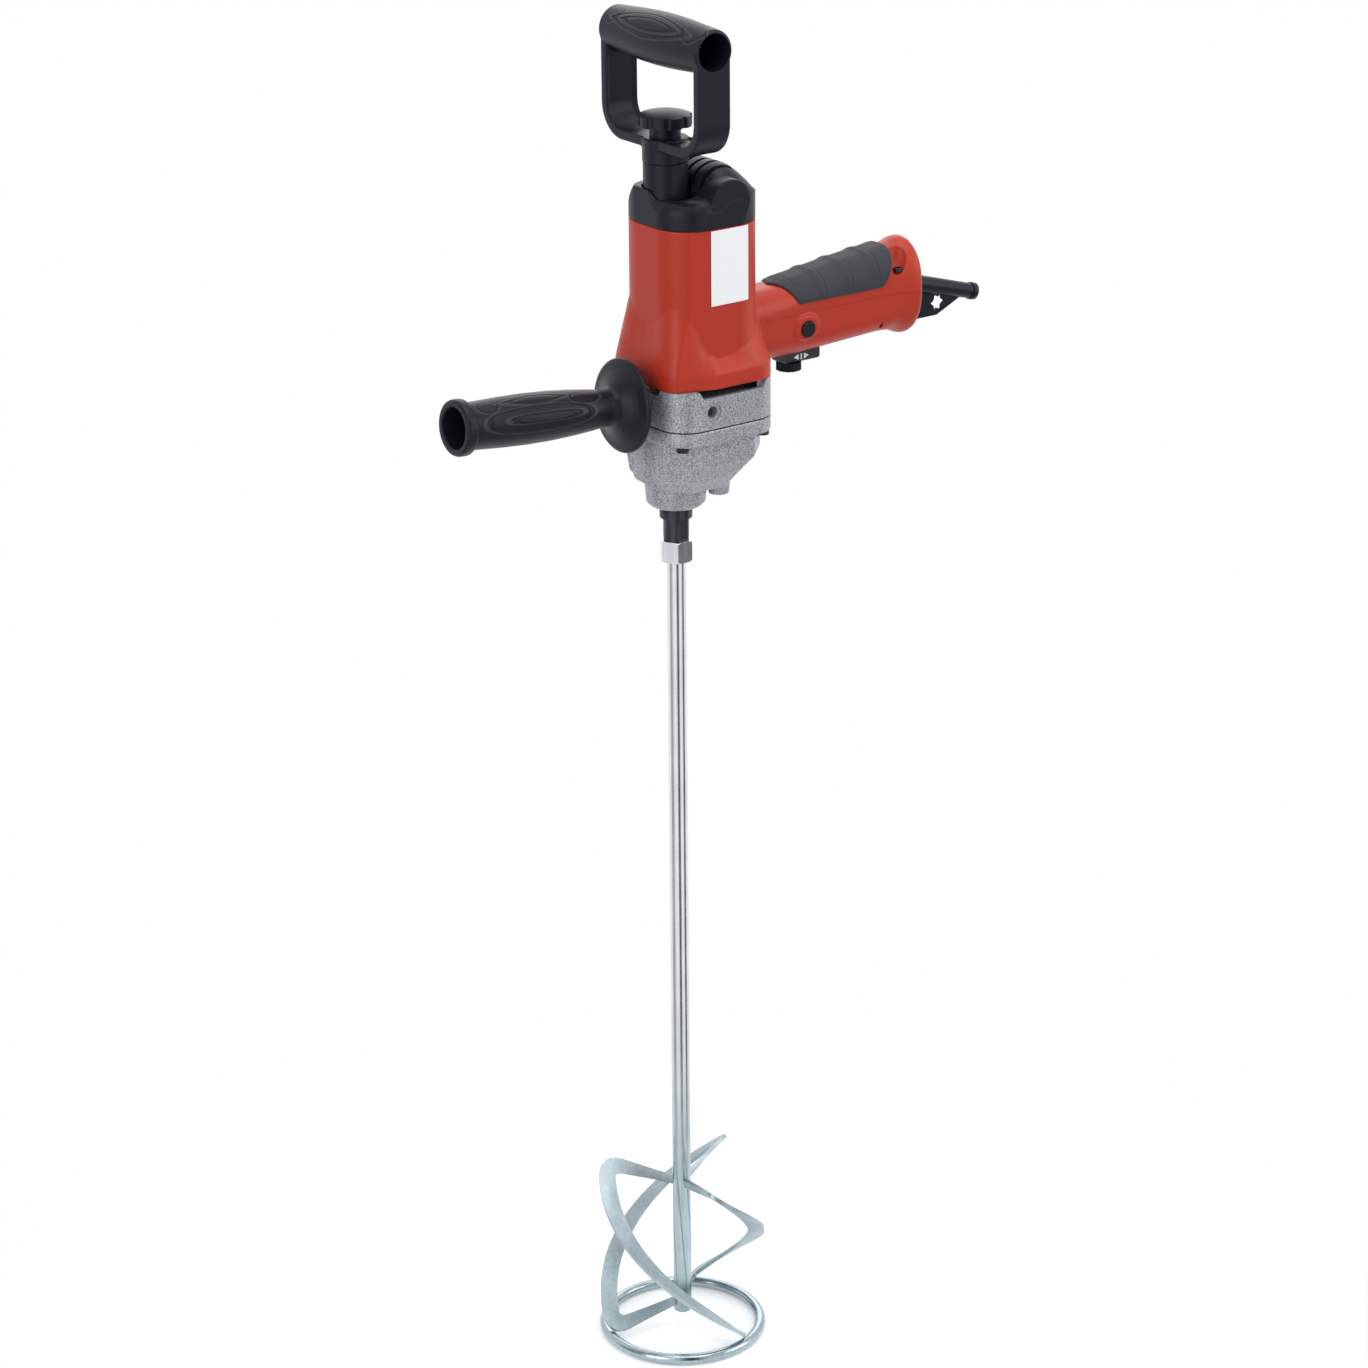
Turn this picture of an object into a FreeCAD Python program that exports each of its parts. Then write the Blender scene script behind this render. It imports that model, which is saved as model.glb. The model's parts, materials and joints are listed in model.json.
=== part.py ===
# Mixing drill: an upright motor and gearbox with three handles, driving a long mixing paddle.
# Frame: millimetres, +Z up, origin on the spindle axis at the underside of the paddle ring.
# The rear handle points to +X, the side handle to -X, the spade handle's grip lies along Y.
import FreeCAD, Part
import math
import os

V = FreeCAD.Vector
X_AXIS = V(1, 0, 0)
Y_AXIS = V(0, 1, 0)
Z_AXIS = V(0, 0, 1)
DIAGONAL_SHARE = math.sqrt(0.5)

# Clearances shared by all pieces
FIT = 0.05
RUN = 0.03
GAP = 0.4
OVER = 1.0

# Plan of gearbox and motor: rounded squares about the motor axis, which is offset from the spindle
BASE_HALF = 46.0
BASE_CORNER = 22.0
SKIRT_FLARE = 6.0
COLUMN_CORNER_SHARE = 0.7
MOTOR_OFFSET_SHARE = 8 / 23
COLUMN_HALF = BASE_HALF - SKIRT_FLARE
COLUMN_CORNER = COLUMN_HALF * COLUMN_CORNER_SHARE
MOTOR_X = BASE_HALF * MOTOR_OFFSET_SHARE

# Mixing paddle
RING_R = 60.5
RING_WIRE_R = 4.3
ROD_R = 7.0
ROD_LEN = 623.0
NUT_FLATS = 22.0
NUT_H = 16.0
NUT_CHAMFER = 1.2
STUD_R = 6.9
STUD_LEN = 15.0
BLADE_COUNT = 3
BLADE_W = 13.0
BLADE_T = 3.0
BLADE_PAST_RING = 3.5
BLADE_RISE = 125.0
BLADE_FOOT = 4.5
BLADE_WRAP_DEG = 158.0
BLADE_START_DEG = 14.0
ARM_WIDE = 12.0
ARM_ROOT_TILT_DEG = 72.0
ARM_ROOT_RISE = 2.5
ARM_LEAN = 8.0
ARM_SHORTER = 1.0
BLADE_REACH = RING_R + BLADE_PAST_RING
BLADE_LOW_Z = 2 * RING_WIRE_R + BLADE_FOOT
BLADE_TOP_Z = BLADE_LOW_Z + BLADE_RISE
ROD_FOOT_Z = BLADE_LOW_Z - ARM_ROOT_RISE + GAP
NUT_BASE_Z = ROD_FOOT_Z + ROD_LEN

# Output spindle and its supports
SPINDLE_FLATS = 17.0
SPINDLE_TIP_R = 9.4
SPINDLE_TIP_LEN = 17.0
COLLAR_R = 12.0
COLLAR_LEN = 9.0
JOURNAL_R = 8.5
GEAR_SEAT_R = 8.0
TOP_JOURNAL_R = 5.0
SPINDLE_BORE_LEN = 18.0
BEARING_R = 17.5
BEARING_H = 10.0
SEAL_R = 15.0
SEAL_H = 5.0
BUSH_WALL = 2.0
TOP_BUSH_H = 14.0
RETAINER_R = 10.5
RETAINER_H = 1.2
KEY_W = 4.0
KEY_H = 4.0
TIP_Z = NUT_BASE_Z + NUT_H
COLLAR_Z = TIP_Z + SPINDLE_TIP_LEN
JOURNAL_Z = COLLAR_Z + COLLAR_LEN

# Gear case, from the nose up to the parting face
NOSE_GAP = 0.5
NOSE_H = 15.5
NOSE_R = 21.5
NOSE_TOP_R = 22.5
NOSE_CHAMFER = 3.0
CASE_H = 51.0
CASE_WAIST_H = 11.0
RIM_H = 11.0
CASE_WALL = 4.0
CASE_SHOULDER_INSET = 2.0
CASE_WAIST_INSET = 9.5
CASE_FLOOR_INSET = 18.0
CASE_BELT_H = 24.0
CASE_BELT_DRAFT = 0.5
CASE_CORNER_SHARE = 0.82
CASE_OFFSET_SHARE = 0.152
GASKET_T = 0.6
GEAR_WELL_WALL = 2.4
GEAR_WELL_SPARE = 0.9
GEAR_WELL_RISE = 6.5
LAY_WELL_SPARE = 0.7
BOSS_WALL = 1.6
BOSS_DROP = 7.0
BOSS_FLOOR = 3.0
SCREW_INSET = 10.2
SCREW_R = 2.5
SCREW_HEAD_R = 4.4
SCREW_HEAD_H = 4.0
SCREW_LEN = 30.0
HEX_SOCKET_SHARE = 0.5
HEX_DEPTH_SHARE = 0.55
CASE_SHOULDER_HALF = BASE_HALF - CASE_SHOULDER_INSET
CASE_WAIST_HALF = BASE_HALF - CASE_WAIST_INSET
CASE_FLOOR_HALF = BASE_HALF - CASE_FLOOR_INSET
CASE_BELT_HALF = CASE_SHOULDER_HALF - CASE_BELT_DRAFT
CASE_ROOM_HALF = CASE_SHOULDER_HALF - CASE_WALL
CASE_ROOM_CORNER = CASE_SHOULDER_HALF * CASE_CORNER_SHARE - CASE_WALL
CASE_LOW_X = MOTOR_X - BASE_HALF * CASE_OFFSET_SHARE
SCREW_SPREAD = BASE_HALF - SCREW_INSET
NOSE_BASE_Z = JOURNAL_Z + NOSE_GAP
CASE_FLOOR_Z = NOSE_BASE_Z + NOSE_H
CASE_WAIST_Z = CASE_FLOOR_Z + CASE_WAIST_H
CASE_BELT_Z = CASE_FLOOR_Z + CASE_BELT_H
PARTING_Z = CASE_FLOOR_Z + CASE_H
RIM_LOW_Z = PARTING_Z - RIM_H
GEAR_WELL_Z = CASE_FLOOR_Z + GEAR_WELL_RISE
BOSS_BASE_Z = CASE_FLOOR_Z - BOSS_DROP
LAYSHAFT_FOOT_Z = BOSS_BASE_Z + BOSS_FLOOR
SEAL_Z = NOSE_BASE_Z + GAP
BEARING_Z = SEAL_Z + SEAL_H + GAP
PLATE_BASE_Z = PARTING_Z + GASKET_T

# Gear train: modules as shares of the base, tooth counts, face widths
MODULE_1_SHARE = 13 / 920
PINION_1_TEETH = 8
GEAR_1_TEETH = 56
MODULE_2_SHARE = 21 / 920
PINION_2_TEETH = 9
GEAR_2_TEETH = 50
PRESSURE_DEG = 20.0
SHIFT_1_SHARE = 0.5
SHIFT_2_SHARE = 0.45
ADDENDUM_SHARE = 0.9
DEDENDUM_SHARE = 1.25
BACKLASH_SHARE = 0.14
FLANK_STEPS = 4
GEAR_1_FACE = 8.0
GEAR_2_FACE = 14.0
GEAR_2_RISE = 10.0
STAGE_GAP = 6.0
PINION_SPARE = 1.0
LAYSHAFT_R = 4.0
LAYSHAFT_BUSH_H = 9.0
SPINDLE_BOSS_WALL = 3.5
SPINDLE_BOSS_CLEAR = 8.5
GEAR_2_BASE_Z = CASE_FLOOR_Z + GEAR_2_RISE
GEAR_2_TOP_Z = GEAR_2_BASE_Z + GEAR_2_FACE
GEAR_1_BASE_Z = GEAR_2_TOP_Z + STAGE_GAP
GEAR_1_TOP_Z = GEAR_1_BASE_Z + GEAR_1_FACE
SPINDLE_BOSS_Z = GEAR_2_TOP_Z + SPINDLE_BOSS_CLEAR
TOP_BUSH_Z = SPINDLE_BOSS_Z + GAP
SPINDLE_TOP_Z = TOP_BUSH_Z + TOP_BUSH_H

MODULE_1 = BASE_HALF * MODULE_1_SHARE
MODULE_2 = BASE_HALF * MODULE_2_SHARE
PITCH_1 = MODULE_1 * (PINION_1_TEETH + GEAR_1_TEETH) / 2
PITCH_2 = MODULE_2 * (PINION_2_TEETH + GEAR_2_TEETH) / 2
LAY_X = (PITCH_2 ** 2 - PITCH_1 ** 2 + MOTOR_X ** 2) / (2 * MOTOR_X)
LAY_Y = -math.sqrt(PITCH_2 ** 2 - LAY_X ** 2)

# Gear plate
WEB_RISE = 5.0
WEB_T = 16.0
FAN_ROOM_H = 8.0
PLATE_WALL = 4.0
WINDOW_H = 5.6
WINDOW_LEFT_INSET = 18.0
WINDOW_RIGHT_INSET = 13.0
WINDOW_SLANT = 4.0
FRONT_WINDOW_INSET = 22.0
SOCKET_R = 4.25
SOCKET_DEPTH = 14.0
SPOT_R = 7.0
SPOT_DEPTH = 1.0
WINDOW_LEFT = BASE_HALF - WINDOW_LEFT_INSET
WINDOW_RIGHT = BASE_HALF - WINDOW_RIGHT_INSET
FRONT_WINDOW_HALF = BASE_HALF - FRONT_WINDOW_INSET
WEB_LOW_Z = PARTING_Z + WEB_RISE
WEB_TOP_Z = WEB_LOW_Z + WEB_T
HOUSING_BASE_Z = WEB_TOP_Z + FAN_ROOM_H
SOCKET_Z = WEB_LOW_Z + WEB_T / 2

# Motor housing; the skirt's edge dips are shares of the base's half width and of the skirt's height
HOUSING_H = 114.0
HOUSING_WALL = 3.2
TOP_WALL = 4.0
SKIRT_STRAIGHT_H = 18.0
SKIRT_SHARE = 0.5
SKIRT_H = HOUSING_H * SKIRT_SHARE
SKIRT_FADE = 9.0
SIDE_DIP_SHARES = [
    (-1, 1.16), (-0.7, 0.84), (-0.435, 0.475), (-0.195, 0.315), (0.13, 0.34), (0.61, 0.5), (1.09, 0.7)]
FRONT_DIP_SHARES = [
    (-0.61, 1.16), (-0.435, 0.91), (-0.22, 0.77), (0, 0.73), (0.22, 0.77), (0.435, 0.91), (0.61, 1.16)]
BEARING_BOSS_WALL = 3.5
AIR_HOLE_SHARE = 0.175
AIR_SPREAD_SHARE = 0.425
AIR_HOLE_R = COLUMN_HALF * AIR_HOLE_SHARE
AIR_HOLE_SPREAD = COLUMN_HALF * AIR_SPREAD_SHARE
HOUSING_TOP_Z = HOUSING_BASE_Z + HOUSING_H
SKIRT_STRAIGHT_Z = HOUSING_BASE_Z + SKIRT_STRAIGHT_H
SKIRT_PEAK_Z = HOUSING_BASE_Z + SKIRT_H

# Rear handle, with its axis rising a little to the back
ROOT_INSIDE = 18.0
GRIP_START = 44.0
GRIP_LEN = 76.0
GRIP_H = 58.0
GRIP_BACK_H = 58.5
GRIP_CLIMB = 5.5
GRIP_ABOVE_BASE = 0.5
ROOT_RISE = 1.5
GRIP_HALF_W = 20.0
ROOT_HALF_W = 25.0
GRIP_CORNER = 16.0
HANDLE_WALL = 3.0
SEAM_H = 33.5
FLANGE_LEAD = 22.0
FLANGE_LEN = 12.0
FLANGE_DROP = 8.0
FLANGE_RISE = 6.5
FLANGE_HALF_W = 25.0
FLANGE_ROUND = 5.0
FLARE_LEAD = 8.0
FLARE_INSET = 1.2
GRIP_FRONT_X = MOTOR_X + COLUMN_HALF + GRIP_START
GRIP_BACK_X = GRIP_FRONT_X + GRIP_LEN
ROOT_X = MOTOR_X + COLUMN_HALF - ROOT_INSIDE
FLANGE_X0 = GRIP_BACK_X + FLANGE_LEAD
FLANGE_X1 = FLANGE_X0 + FLANGE_LEN
FLARE_X = GRIP_BACK_X + FLARE_LEAD
GRIP_FRONT_LOW_Z = HOUSING_BASE_Z + GRIP_ABOVE_BASE
GRIP_FRONT_TOP_Z = GRIP_FRONT_LOW_Z + GRIP_H
GRIP_BACK_LOW_Z = GRIP_FRONT_LOW_Z + GRIP_CLIMB
GRIP_BACK_TOP_Z = GRIP_BACK_LOW_Z + GRIP_BACK_H
ROOT_LOW_Z = GRIP_FRONT_LOW_Z + ROOT_RISE
ROOT_TOP_Z = ROOT_LOW_Z + GRIP_H
SEAM_Z = GRIP_FRONT_LOW_Z + SEAM_H
FLANGE_LOW_Z = GRIP_BACK_LOW_Z - FLANGE_DROP
FLANGE_TOP_Z = GRIP_BACK_TOP_Z + FLANGE_RISE

# Soft pad on the handle and the screws that hold the handle's halves
PAD_T = 2.6
PAD_LEAD = 17.0
PAD_SHORT = -2.0
PAD_TOE = 5.0
PAD_ABOVE_SEAM = 8.0
PAD_CORNER = 7.0
PAD_PROUD = 0.6
GROOVE_COUNT = 4
GROOVE_LEAD = -4.5
GROOVE_PITCH = 24.5
GROOVE_W = 0.9
GROOVE_DEPTH = 1.0
GROOVE_RISE = 10.0
POCKET_IN = 6.0
POCKET_R = 4.6
POCKET_INSET = 7.5
POCKET_FLOOR = 16.0
HANDLE_SCREW_R = 2.0
HANDLE_SCREW_HEAD_R = 3.6
HANDLE_SCREW_HEAD_H = 2.6
HANDLE_SCREW_LEN = 26.0
PAD_FRONT_X = GRIP_FRONT_X - PAD_LEAD
PAD_BACK_X = GRIP_BACK_X - PAD_SHORT
PAD_LOW_Z = SEAM_Z + PAD_ABOVE_SEAM
POCKET_X = FLARE_X + POCKET_IN
POCKET_Y = FLANGE_HALF_W - POCKET_INSET
POCKET_Z = SEAM_Z + POCKET_FLOOR

# Trigger, speed dial, lock button and switch
TRIGGER_LEAD = 7.0
TRIGGER_LEN = 32.0
TRIGGER_HALF_W = 8.0
TRIGGER_DROP = 7.3
TRIGGER_H = 15.0
TRIGGER_TRAVEL = 6.0
TRIGGER_ROUND = 2.5
STEM_HALF = 4.0
STEM_LEN = 7.0
DIAL_IN = 9.5
DIAL_R = 9.0
DIAL_H = 6.2
DIAL_RIBS = 24
DIAL_RIB_R = 0.7
DIAL_PIN_R = 2.0
DIAL_PIN_LEN = 6.0
BUTTON_IN = 3.0
BUTTON_BELOW_SEAM = 12.0
BUTTON_R = 6.0
BUTTON_PROUD = 1.6
BUTTON_TRAVEL = 3.0
BUTTON_BOSS_WALL = 4.0
BUTTON_BOSS_PROUD = 2.4
SWITCH_LEAD = 8.0
SWITCH_TAIL = 11.0
SWITCH_HALF_W = 9.0
SWITCH_ABOVE_SEAM = 12.0
LUG_L = 8.0
LUG_H = 10.0
TRIGGER_X0 = GRIP_FRONT_X - TRIGGER_LEAD
TRIGGER_X1 = TRIGGER_X0 + TRIGGER_LEN
TRIGGER_LOW_Z = GRIP_FRONT_LOW_Z - TRIGGER_DROP
TRIGGER_TOP_Z = TRIGGER_LOW_Z + TRIGGER_H
STEM_TOP_Z = TRIGGER_TOP_Z + STEM_LEN
SWITCH_LOW_Z = STEM_TOP_Z + TRIGGER_TRAVEL + GAP
DIAL_X = TRIGGER_X0 + DIAL_IN
DIAL_LOW_Z = TRIGGER_LOW_Z - DIAL_H
BUTTON_X = GRIP_FRONT_X + BUTTON_IN
BUTTON_Z = SEAM_Z - BUTTON_BELOW_SEAM
BUTTON_FACE = GRIP_HALF_W + BUTTON_BOSS_PROUD + BUTTON_PROUD

# Strain relief with key holder wing, and the cord clamp inside the handle
RELIEF_BELOW_SEAM = 3.0
RELIEF_LEN = 67.5
RELIEF_STRAIGHT = 14.0
RELIEF_DROOP = 14.5
RELIEF_ROOT_R = 6.6
RELIEF_TIP_R = 5.6
RELIEF_LIP_R = 6.5
RELIEF_LIP_LEN = 4.0
RELIEF_BORE_R = 4.0
RELIEF_BORE_LEN = 14.0
RELIEF_PLUG_R = 8.0
RELIEF_PLUG_LEN = 9.0
WING_T = 2.4
WING_H = 26.5
WING_FLAT = 31.0
WING_SHORT = 10.0
STAR_OUT = 32.0
STAR_RISE = 9.5
STAR_R = 6.6
STAR_INNER_R = 4.4
STAR_LOBES = 6
CLAMP_IN = -9.0
CLAMP_L = 9.0
CLAMP_HALF_W = 13.0
CLAMP_H = 4.0
CLAMP_SCREW_Y = 9.0
CLAMP_SCREW_R = 1.5
CLAMP_SCREW_HEAD_R = 2.9
CLAMP_SCREW_HEAD_H = 2.0
CLAMP_SCREW_LEN = 11.0
CLAMP_BOSS_WALL = 2.1
RELIEF_ROOT_Z = SEAM_Z - RELIEF_BELOW_SEAM
RELIEF_TIP_Z = RELIEF_ROOT_Z - RELIEF_DROOP
RELIEF_TIP_X = FLANGE_X1 + RELIEF_LEN
RELIEF_BEND_X = FLANGE_X1 + RELIEF_STRAIGHT
WING_LOW_Z = RELIEF_ROOT_Z - WING_H
STAR_X = FLANGE_X1 + STAR_OUT
STAR_Z = WING_LOW_Z + STAR_RISE
CLAMP_X = GRIP_BACK_X + CLAMP_IN

# Motor
AIR_GAP = 0.7
STATOR_BORE_SHARE = 0.611
STATOR_GAP = 0.8
STATOR_RISE = 18.0
COIL_OVERHANG = 7.0
COIL_WIDTH_SHARE = 0.73
COIL_T = 7.0
COIL_STAND = 1.5
CORE_INSET = 1.0
ARMATURE_SLOTS = 12
SLOT_WIDTH_SHARE = 0.14
SLOT_DEPTH_SHARE = 0.235
WINDING_SHARE = 0.82
WINDING_OVERHANG = 6.0
SHAFT_SHARE = 0.258
SHAFT_LOW_R = 4.0
SHAFT_TOP_R = 3.5
COMMUTATOR_SHARE = 0.587
COMMUTATOR_STAND = 11.0
COMMUTATOR_H = 14.0
COMMUTATOR_BARS = 24
BAR_SLOT_W = 0.6
BAR_SLOT_DEPTH = 1.2
FAN_INSET = 7.0
FAN_STAND = 2.5
FAN_H = 9.0
FAN_DISC_T = 2.0
FAN_HUB_R = 10.0
FAN_BLADES = 11
FAN_BLADE_T = 1.8
LOW_BEARING_CLEAR = 3.8
LOW_BEARING_RISE = 4.0
LOW_BEARING_H = 7.0
TOP_BEARING_R = 9.5
TOP_BEARING_DROP = 13.0
TOP_BEARING_H = 6.0
TOP_BEARING_STAND = 6.0
BAFFLE_STAND = 2.0
BAFFLE_T = 2.2
BAFFLE_LAP = 8.0
BRUSH_W = 6.0
BRUSH_H = 8.0
BRUSH_LEN = 12.0
HOLDER_WALL = 1.5
HOLDER_STAND = 1.5
STATOR_R = COLUMN_HALF - HOUSING_WALL - STATOR_GAP
STATOR_BORE_R = STATOR_R * STATOR_BORE_SHARE
ARMATURE_R = STATOR_BORE_R - AIR_GAP
SLOT_W = ARMATURE_R * SLOT_WIDTH_SHARE
SLOT_DEPTH = ARMATURE_R * SLOT_DEPTH_SHARE
SHAFT_CORE_R = ARMATURE_R * SHAFT_SHARE
WINDING_R = ARMATURE_R * WINDING_SHARE
COMMUTATOR_R = ARMATURE_R * COMMUTATOR_SHARE
COIL_HALF_W = STATOR_BORE_R * COIL_WIDTH_SHARE
FAN_R = COLUMN_HALF - FAN_INSET
BAFFLE_HOLE_R = FAN_R - BAFFLE_LAP
BRUSH_ROOM_H = COMMUTATOR_STAND + COMMUTATOR_H + TOP_BEARING_STAND
STATOR_H = HOUSING_H - STATOR_RISE - BRUSH_ROOM_H - TOP_BEARING_DROP
COIL_INNER = STATOR_BORE_R + COIL_STAND
STATOR_LOW_Z = HOUSING_BASE_Z + STATOR_RISE
STATOR_TOP_Z = STATOR_LOW_Z + STATOR_H
CORE_LOW_Z = STATOR_LOW_Z + CORE_INSET
CORE_TOP_Z = STATOR_TOP_Z - CORE_INSET
COMMUTATOR_LOW_Z = STATOR_TOP_Z + COMMUTATOR_STAND
COMMUTATOR_TOP_Z = COMMUTATOR_LOW_Z + COMMUTATOR_H
BRUSH_Z = COMMUTATOR_LOW_Z + COMMUTATOR_H / 2
FAN_LOW_Z = WEB_TOP_Z + FAN_STAND
LOW_BEARING_R = PITCH_1 - LAYSHAFT_R - BUSH_WALL - LOW_BEARING_CLEAR
LOW_BEARING_Z = WEB_LOW_Z + LOW_BEARING_RISE
LOW_BEARING_TOP_Z = LOW_BEARING_Z + LOW_BEARING_H
TOP_BEARING_Z = HOUSING_TOP_Z - TOP_BEARING_DROP
TOP_BEARING_TOP_Z = TOP_BEARING_Z + TOP_BEARING_H
BAFFLE_Z = FAN_LOW_Z + FAN_H + BAFFLE_STAND

# End cap with vented hump and the spade handle's post
CAP_WALL = 3.0
CAP_H = 20.0
CAP_ROUND = 7.0
POST_INSET = 17.5
POST_R = 16.0
POST_SUNK = 11.0
POST_STAND = 23.5
POST_POCKET_GAP = 2.0
POST_SPIGOT = 1.0
CUP_FOOT_R = 25.0
CUP_TOP_R = 19.0
CUP_H = 12.0
CUP_SUNK = 2.0
CUP_BACK = 3.0
HUMP_LEAD = 1.5
HUMP_RUN = 8.0
HUMP_H = 41.0
HUMP_FRONT_DROP = 4.5
HUMP_BEND_SHARE = 0.64
HUMP_BACK_INSET = 0.0
HUMP_SIDE_INSET = 0.0
HUMP_SHOULDER_DROP = 6.0
VENT_COUNT = 5
VENT_W = 3.0
VENT_PITCH = 7.0
VENT_LEN = 20.0
STUD_BOLT_R = 5.0
STUD_FOOT = 2.0
NUT_POCKET_R = 9.0
STUD_NUT_H = 8.0
CAP_SCREW_SHARE = 0.625
CAP_SCREW_R = 2.0
CAP_SCREW_HEAD_R = 3.5
CAP_SCREW_HEAD_H = 2.5
CAP_SCREW_BITE = 7.0
CAP_BOSS_WALL = 3.0
POST_X = MOTOR_X - COLUMN_HALF + POST_INSET
CAP_SCREW_SPREAD = COLUMN_HALF * CAP_SCREW_SHARE
CAP_SHOULDER_Z = HOUSING_TOP_Z + CAP_H
CAP_FLOOR_Z = HOUSING_TOP_Z + CAP_WALL
POST_FOOT_Z = CAP_SHOULDER_Z - POST_SUNK
POST_TOP_Z = CAP_SHOULDER_Z + POST_STAND
HUMP_X0 = POST_X + POST_R + HUMP_LEAD
HUMP_CREST_X = HUMP_X0 + HUMP_RUN
HUMP_X1 = MOTOR_X + COLUMN_HALF - HUMP_BACK_INSET
HUMP_HALF_W = COLUMN_HALF - HUMP_SIDE_INSET
HUMP_TOP_Z = HOUSING_TOP_Z + HUMP_H
HUMP_SHOULDER_Z = CAP_SHOULDER_Z - HUMP_SHOULDER_DROP
STUD_FOOT_Z = POST_FOOT_Z + STUD_FOOT

# Spade handle and star knob
COLLAR_BOSS_H = 10.5
COLLAR_BOSS_WALL = 0.4
SPADE_RISE = 75.0
SPADE_HALF_L = 58.0
SPADE_GRIP_R = 18.5
SPADE_END_R = 15.6
SPADE_BORE_R = 13.5
SPADE_BORE_LEN = 46.0
BAND_W = 27.0
BAND_T = 7.0
BAND_CORNER = 32.0
BAND_LIP_W = 2.5
BAND_LIP_H = 1.6
KNOB_R = 19.0
KNOB_LOBES = 9
KNOB_NOTCH_R = 3.4
KNOB_H = 7.5
KNOB_DOME_H = 3.6
KNOB_NECK_R = 11.0
KNOB_NECK_H = 8.0
BAND_LOW_Z = POST_TOP_Z + COLLAR_BOSS_H
BAND_TOP_Z = BAND_LOW_Z + BAND_T
SPADE_GRIP_Z = BAND_LOW_Z + SPADE_RISE
KNOB_LOW_Z = BAND_TOP_Z + KNOB_NECK_H
STUD_TOP_Z = KNOB_LOW_Z + KNOB_H / 2

# Side handle on the gear plate's front
SIDE_TILT_DEG = 4.0
SIDE_SOCKET_RISE = 9.5
SIDE_FLANGE_START = 13.0
SIDE_FLANGE_R = 34.0
SIDE_FLANGE_T = 5.0
SIDE_DISH = 5.0
SIDE_NECK_R = 13.0
SIDE_NECK_LEN = 10.0
SIDE_GRIP_R = 18.0
SIDE_GRIP_END_R = 16.5
SIDE_GRIP_LEN = 122.0
SIDE_RING_R = 20.0
SIDE_RING_LEN = 9.0
SIDE_RING_CORNER = 2.2
SIDE_BORE_R = 14.5
SIDE_BORE_LEN = 40.0
SIDE_BOSS_R = 12.0
SIDE_STAND = 0.8
SIDE_STUD_R = 4.2
SIDE_STUD_IN = 13.0
GRIP_WAIST_SHARE = 0.2
GRIP_SWELL_SHARE = 0.5
FLANGE_EDGE_SHARE = 0.33
SIDE_SOCKET_Z = WEB_LOW_Z + SIDE_SOCKET_RISE

# Name plate, left bare
PLATE_LEFT = 13.0
PLATE_RIGHT = 20.0
PLATE_SHARE = 9 / 19
PLATE_DROP = 0.8
PLATE_T = 0.5
PLATE_H = HOUSING_H * PLATE_SHARE
PLATE_TOP_Z = HOUSING_TOP_Z - PLATE_DROP


def rounded_rectangle(centre, across, up, half_w, half_h, corner):
    """A closed outline of four lines and four corner arcs in the plane of two directions."""
    def place(a, b):
        return centre + across * a + up * b

    flat_w = half_w - corner
    flat_h = half_h - corner
    bow = corner * DIAGONAL_SHARE
    edges = []
    for a, b in ((1, 1), (-1, 1), (-1, -1), (1, -1)):
        near, far = place(a * half_w, b * flat_h), place(a * flat_w, b * half_h)
        bend = place(a * (flat_w + bow), b * (flat_h + bow))
        first, last = (near, far) if a * b > 0 else (far, near)
        edges.append(Part.Arc(first, bend, last).toShape())
        after = place(-a * flat_w, b * half_h) if a * b > 0 else place(a * half_w, -b * flat_h)
        edges.append(Part.makeLine(last, after))
    return Part.Wire(edges)


def angles(count):
    return [2 * math.pi * i / count for i in range(count)]


def square_section(half, corner, z, centre_x=MOTOR_X):
    """A horizontal rounded square section."""
    return rounded_rectangle(V(centre_x, 0, z), X_AXIS, Y_AXIS, half, half, corner)


def square_prism(half, corner, low, high, centre_x=MOTOR_X):
    face = Part.Face(square_section(half, corner, low, centre_x))
    return face.extrude(V(0, 0, high - low))


def loft(wires):
    return Part.makeLoft(wires, True, True)


def cylinder(radius, low, high, x=0, y=0):
    """An upright cylinder between two heights."""
    return Part.makeCylinder(radius, high - low, V(x, y, low))


def tube(outer, inner, low, high, x=0, y=0):
    bore = cylinder(inner, low - OVER, high + OVER, x, y)
    return cylinder(outer, low, high, x, y).cut(bore)


def block(x0, x1, y0, y1, z0, z1):
    return Part.makeBox(x1 - x0, y1 - y0, z1 - z0, V(x0, y0, z0))


def turned(profile):
    """A solid turned from a closed polygon of points."""
    wire = Part.makePolygon(profile + [profile[0]])
    return Part.Face(wire).revolve(V(0, 0, 0), Z_AXIS, 360)


def fuse(shapes):
    joined = shapes[0]
    if len(shapes) > 1:
        joined = joined.multiFuse(shapes[1:])
    return joined.removeSplitter()


def spun(shape, degrees, x=0, y=0):
    copy = shape.copy()
    copy.rotate(V(x, y, 0), Z_AXIS, degrees)
    return copy


def around(shape, count, x=0, y=0):
    return [spun(shape, 360 * i / count, x, y) for i in range(count)]


def mirrored(shape):
    """The same shape on the other side of the XZ plane."""
    return shape.mirror(V(0, 0, 0), Y_AXIS)


# Paddle
def paddle_ring():
    return Part.makeTorus(RING_R, RING_WIRE_R, V(0, 0, RING_WIRE_R))


def paddle_rod():
    return cylinder(ROD_R, ROD_FOOT_Z, NUT_BASE_Z)


def hexagon(flats, low, high):
    corner = flats / math.sqrt(3)
    points = [V(corner * math.cos(a), corner * math.sin(a), low) for a in angles(6)]
    return Part.Face(Part.makePolygon(points + [points[0]])).extrude(V(0, 0, high - low))


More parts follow.
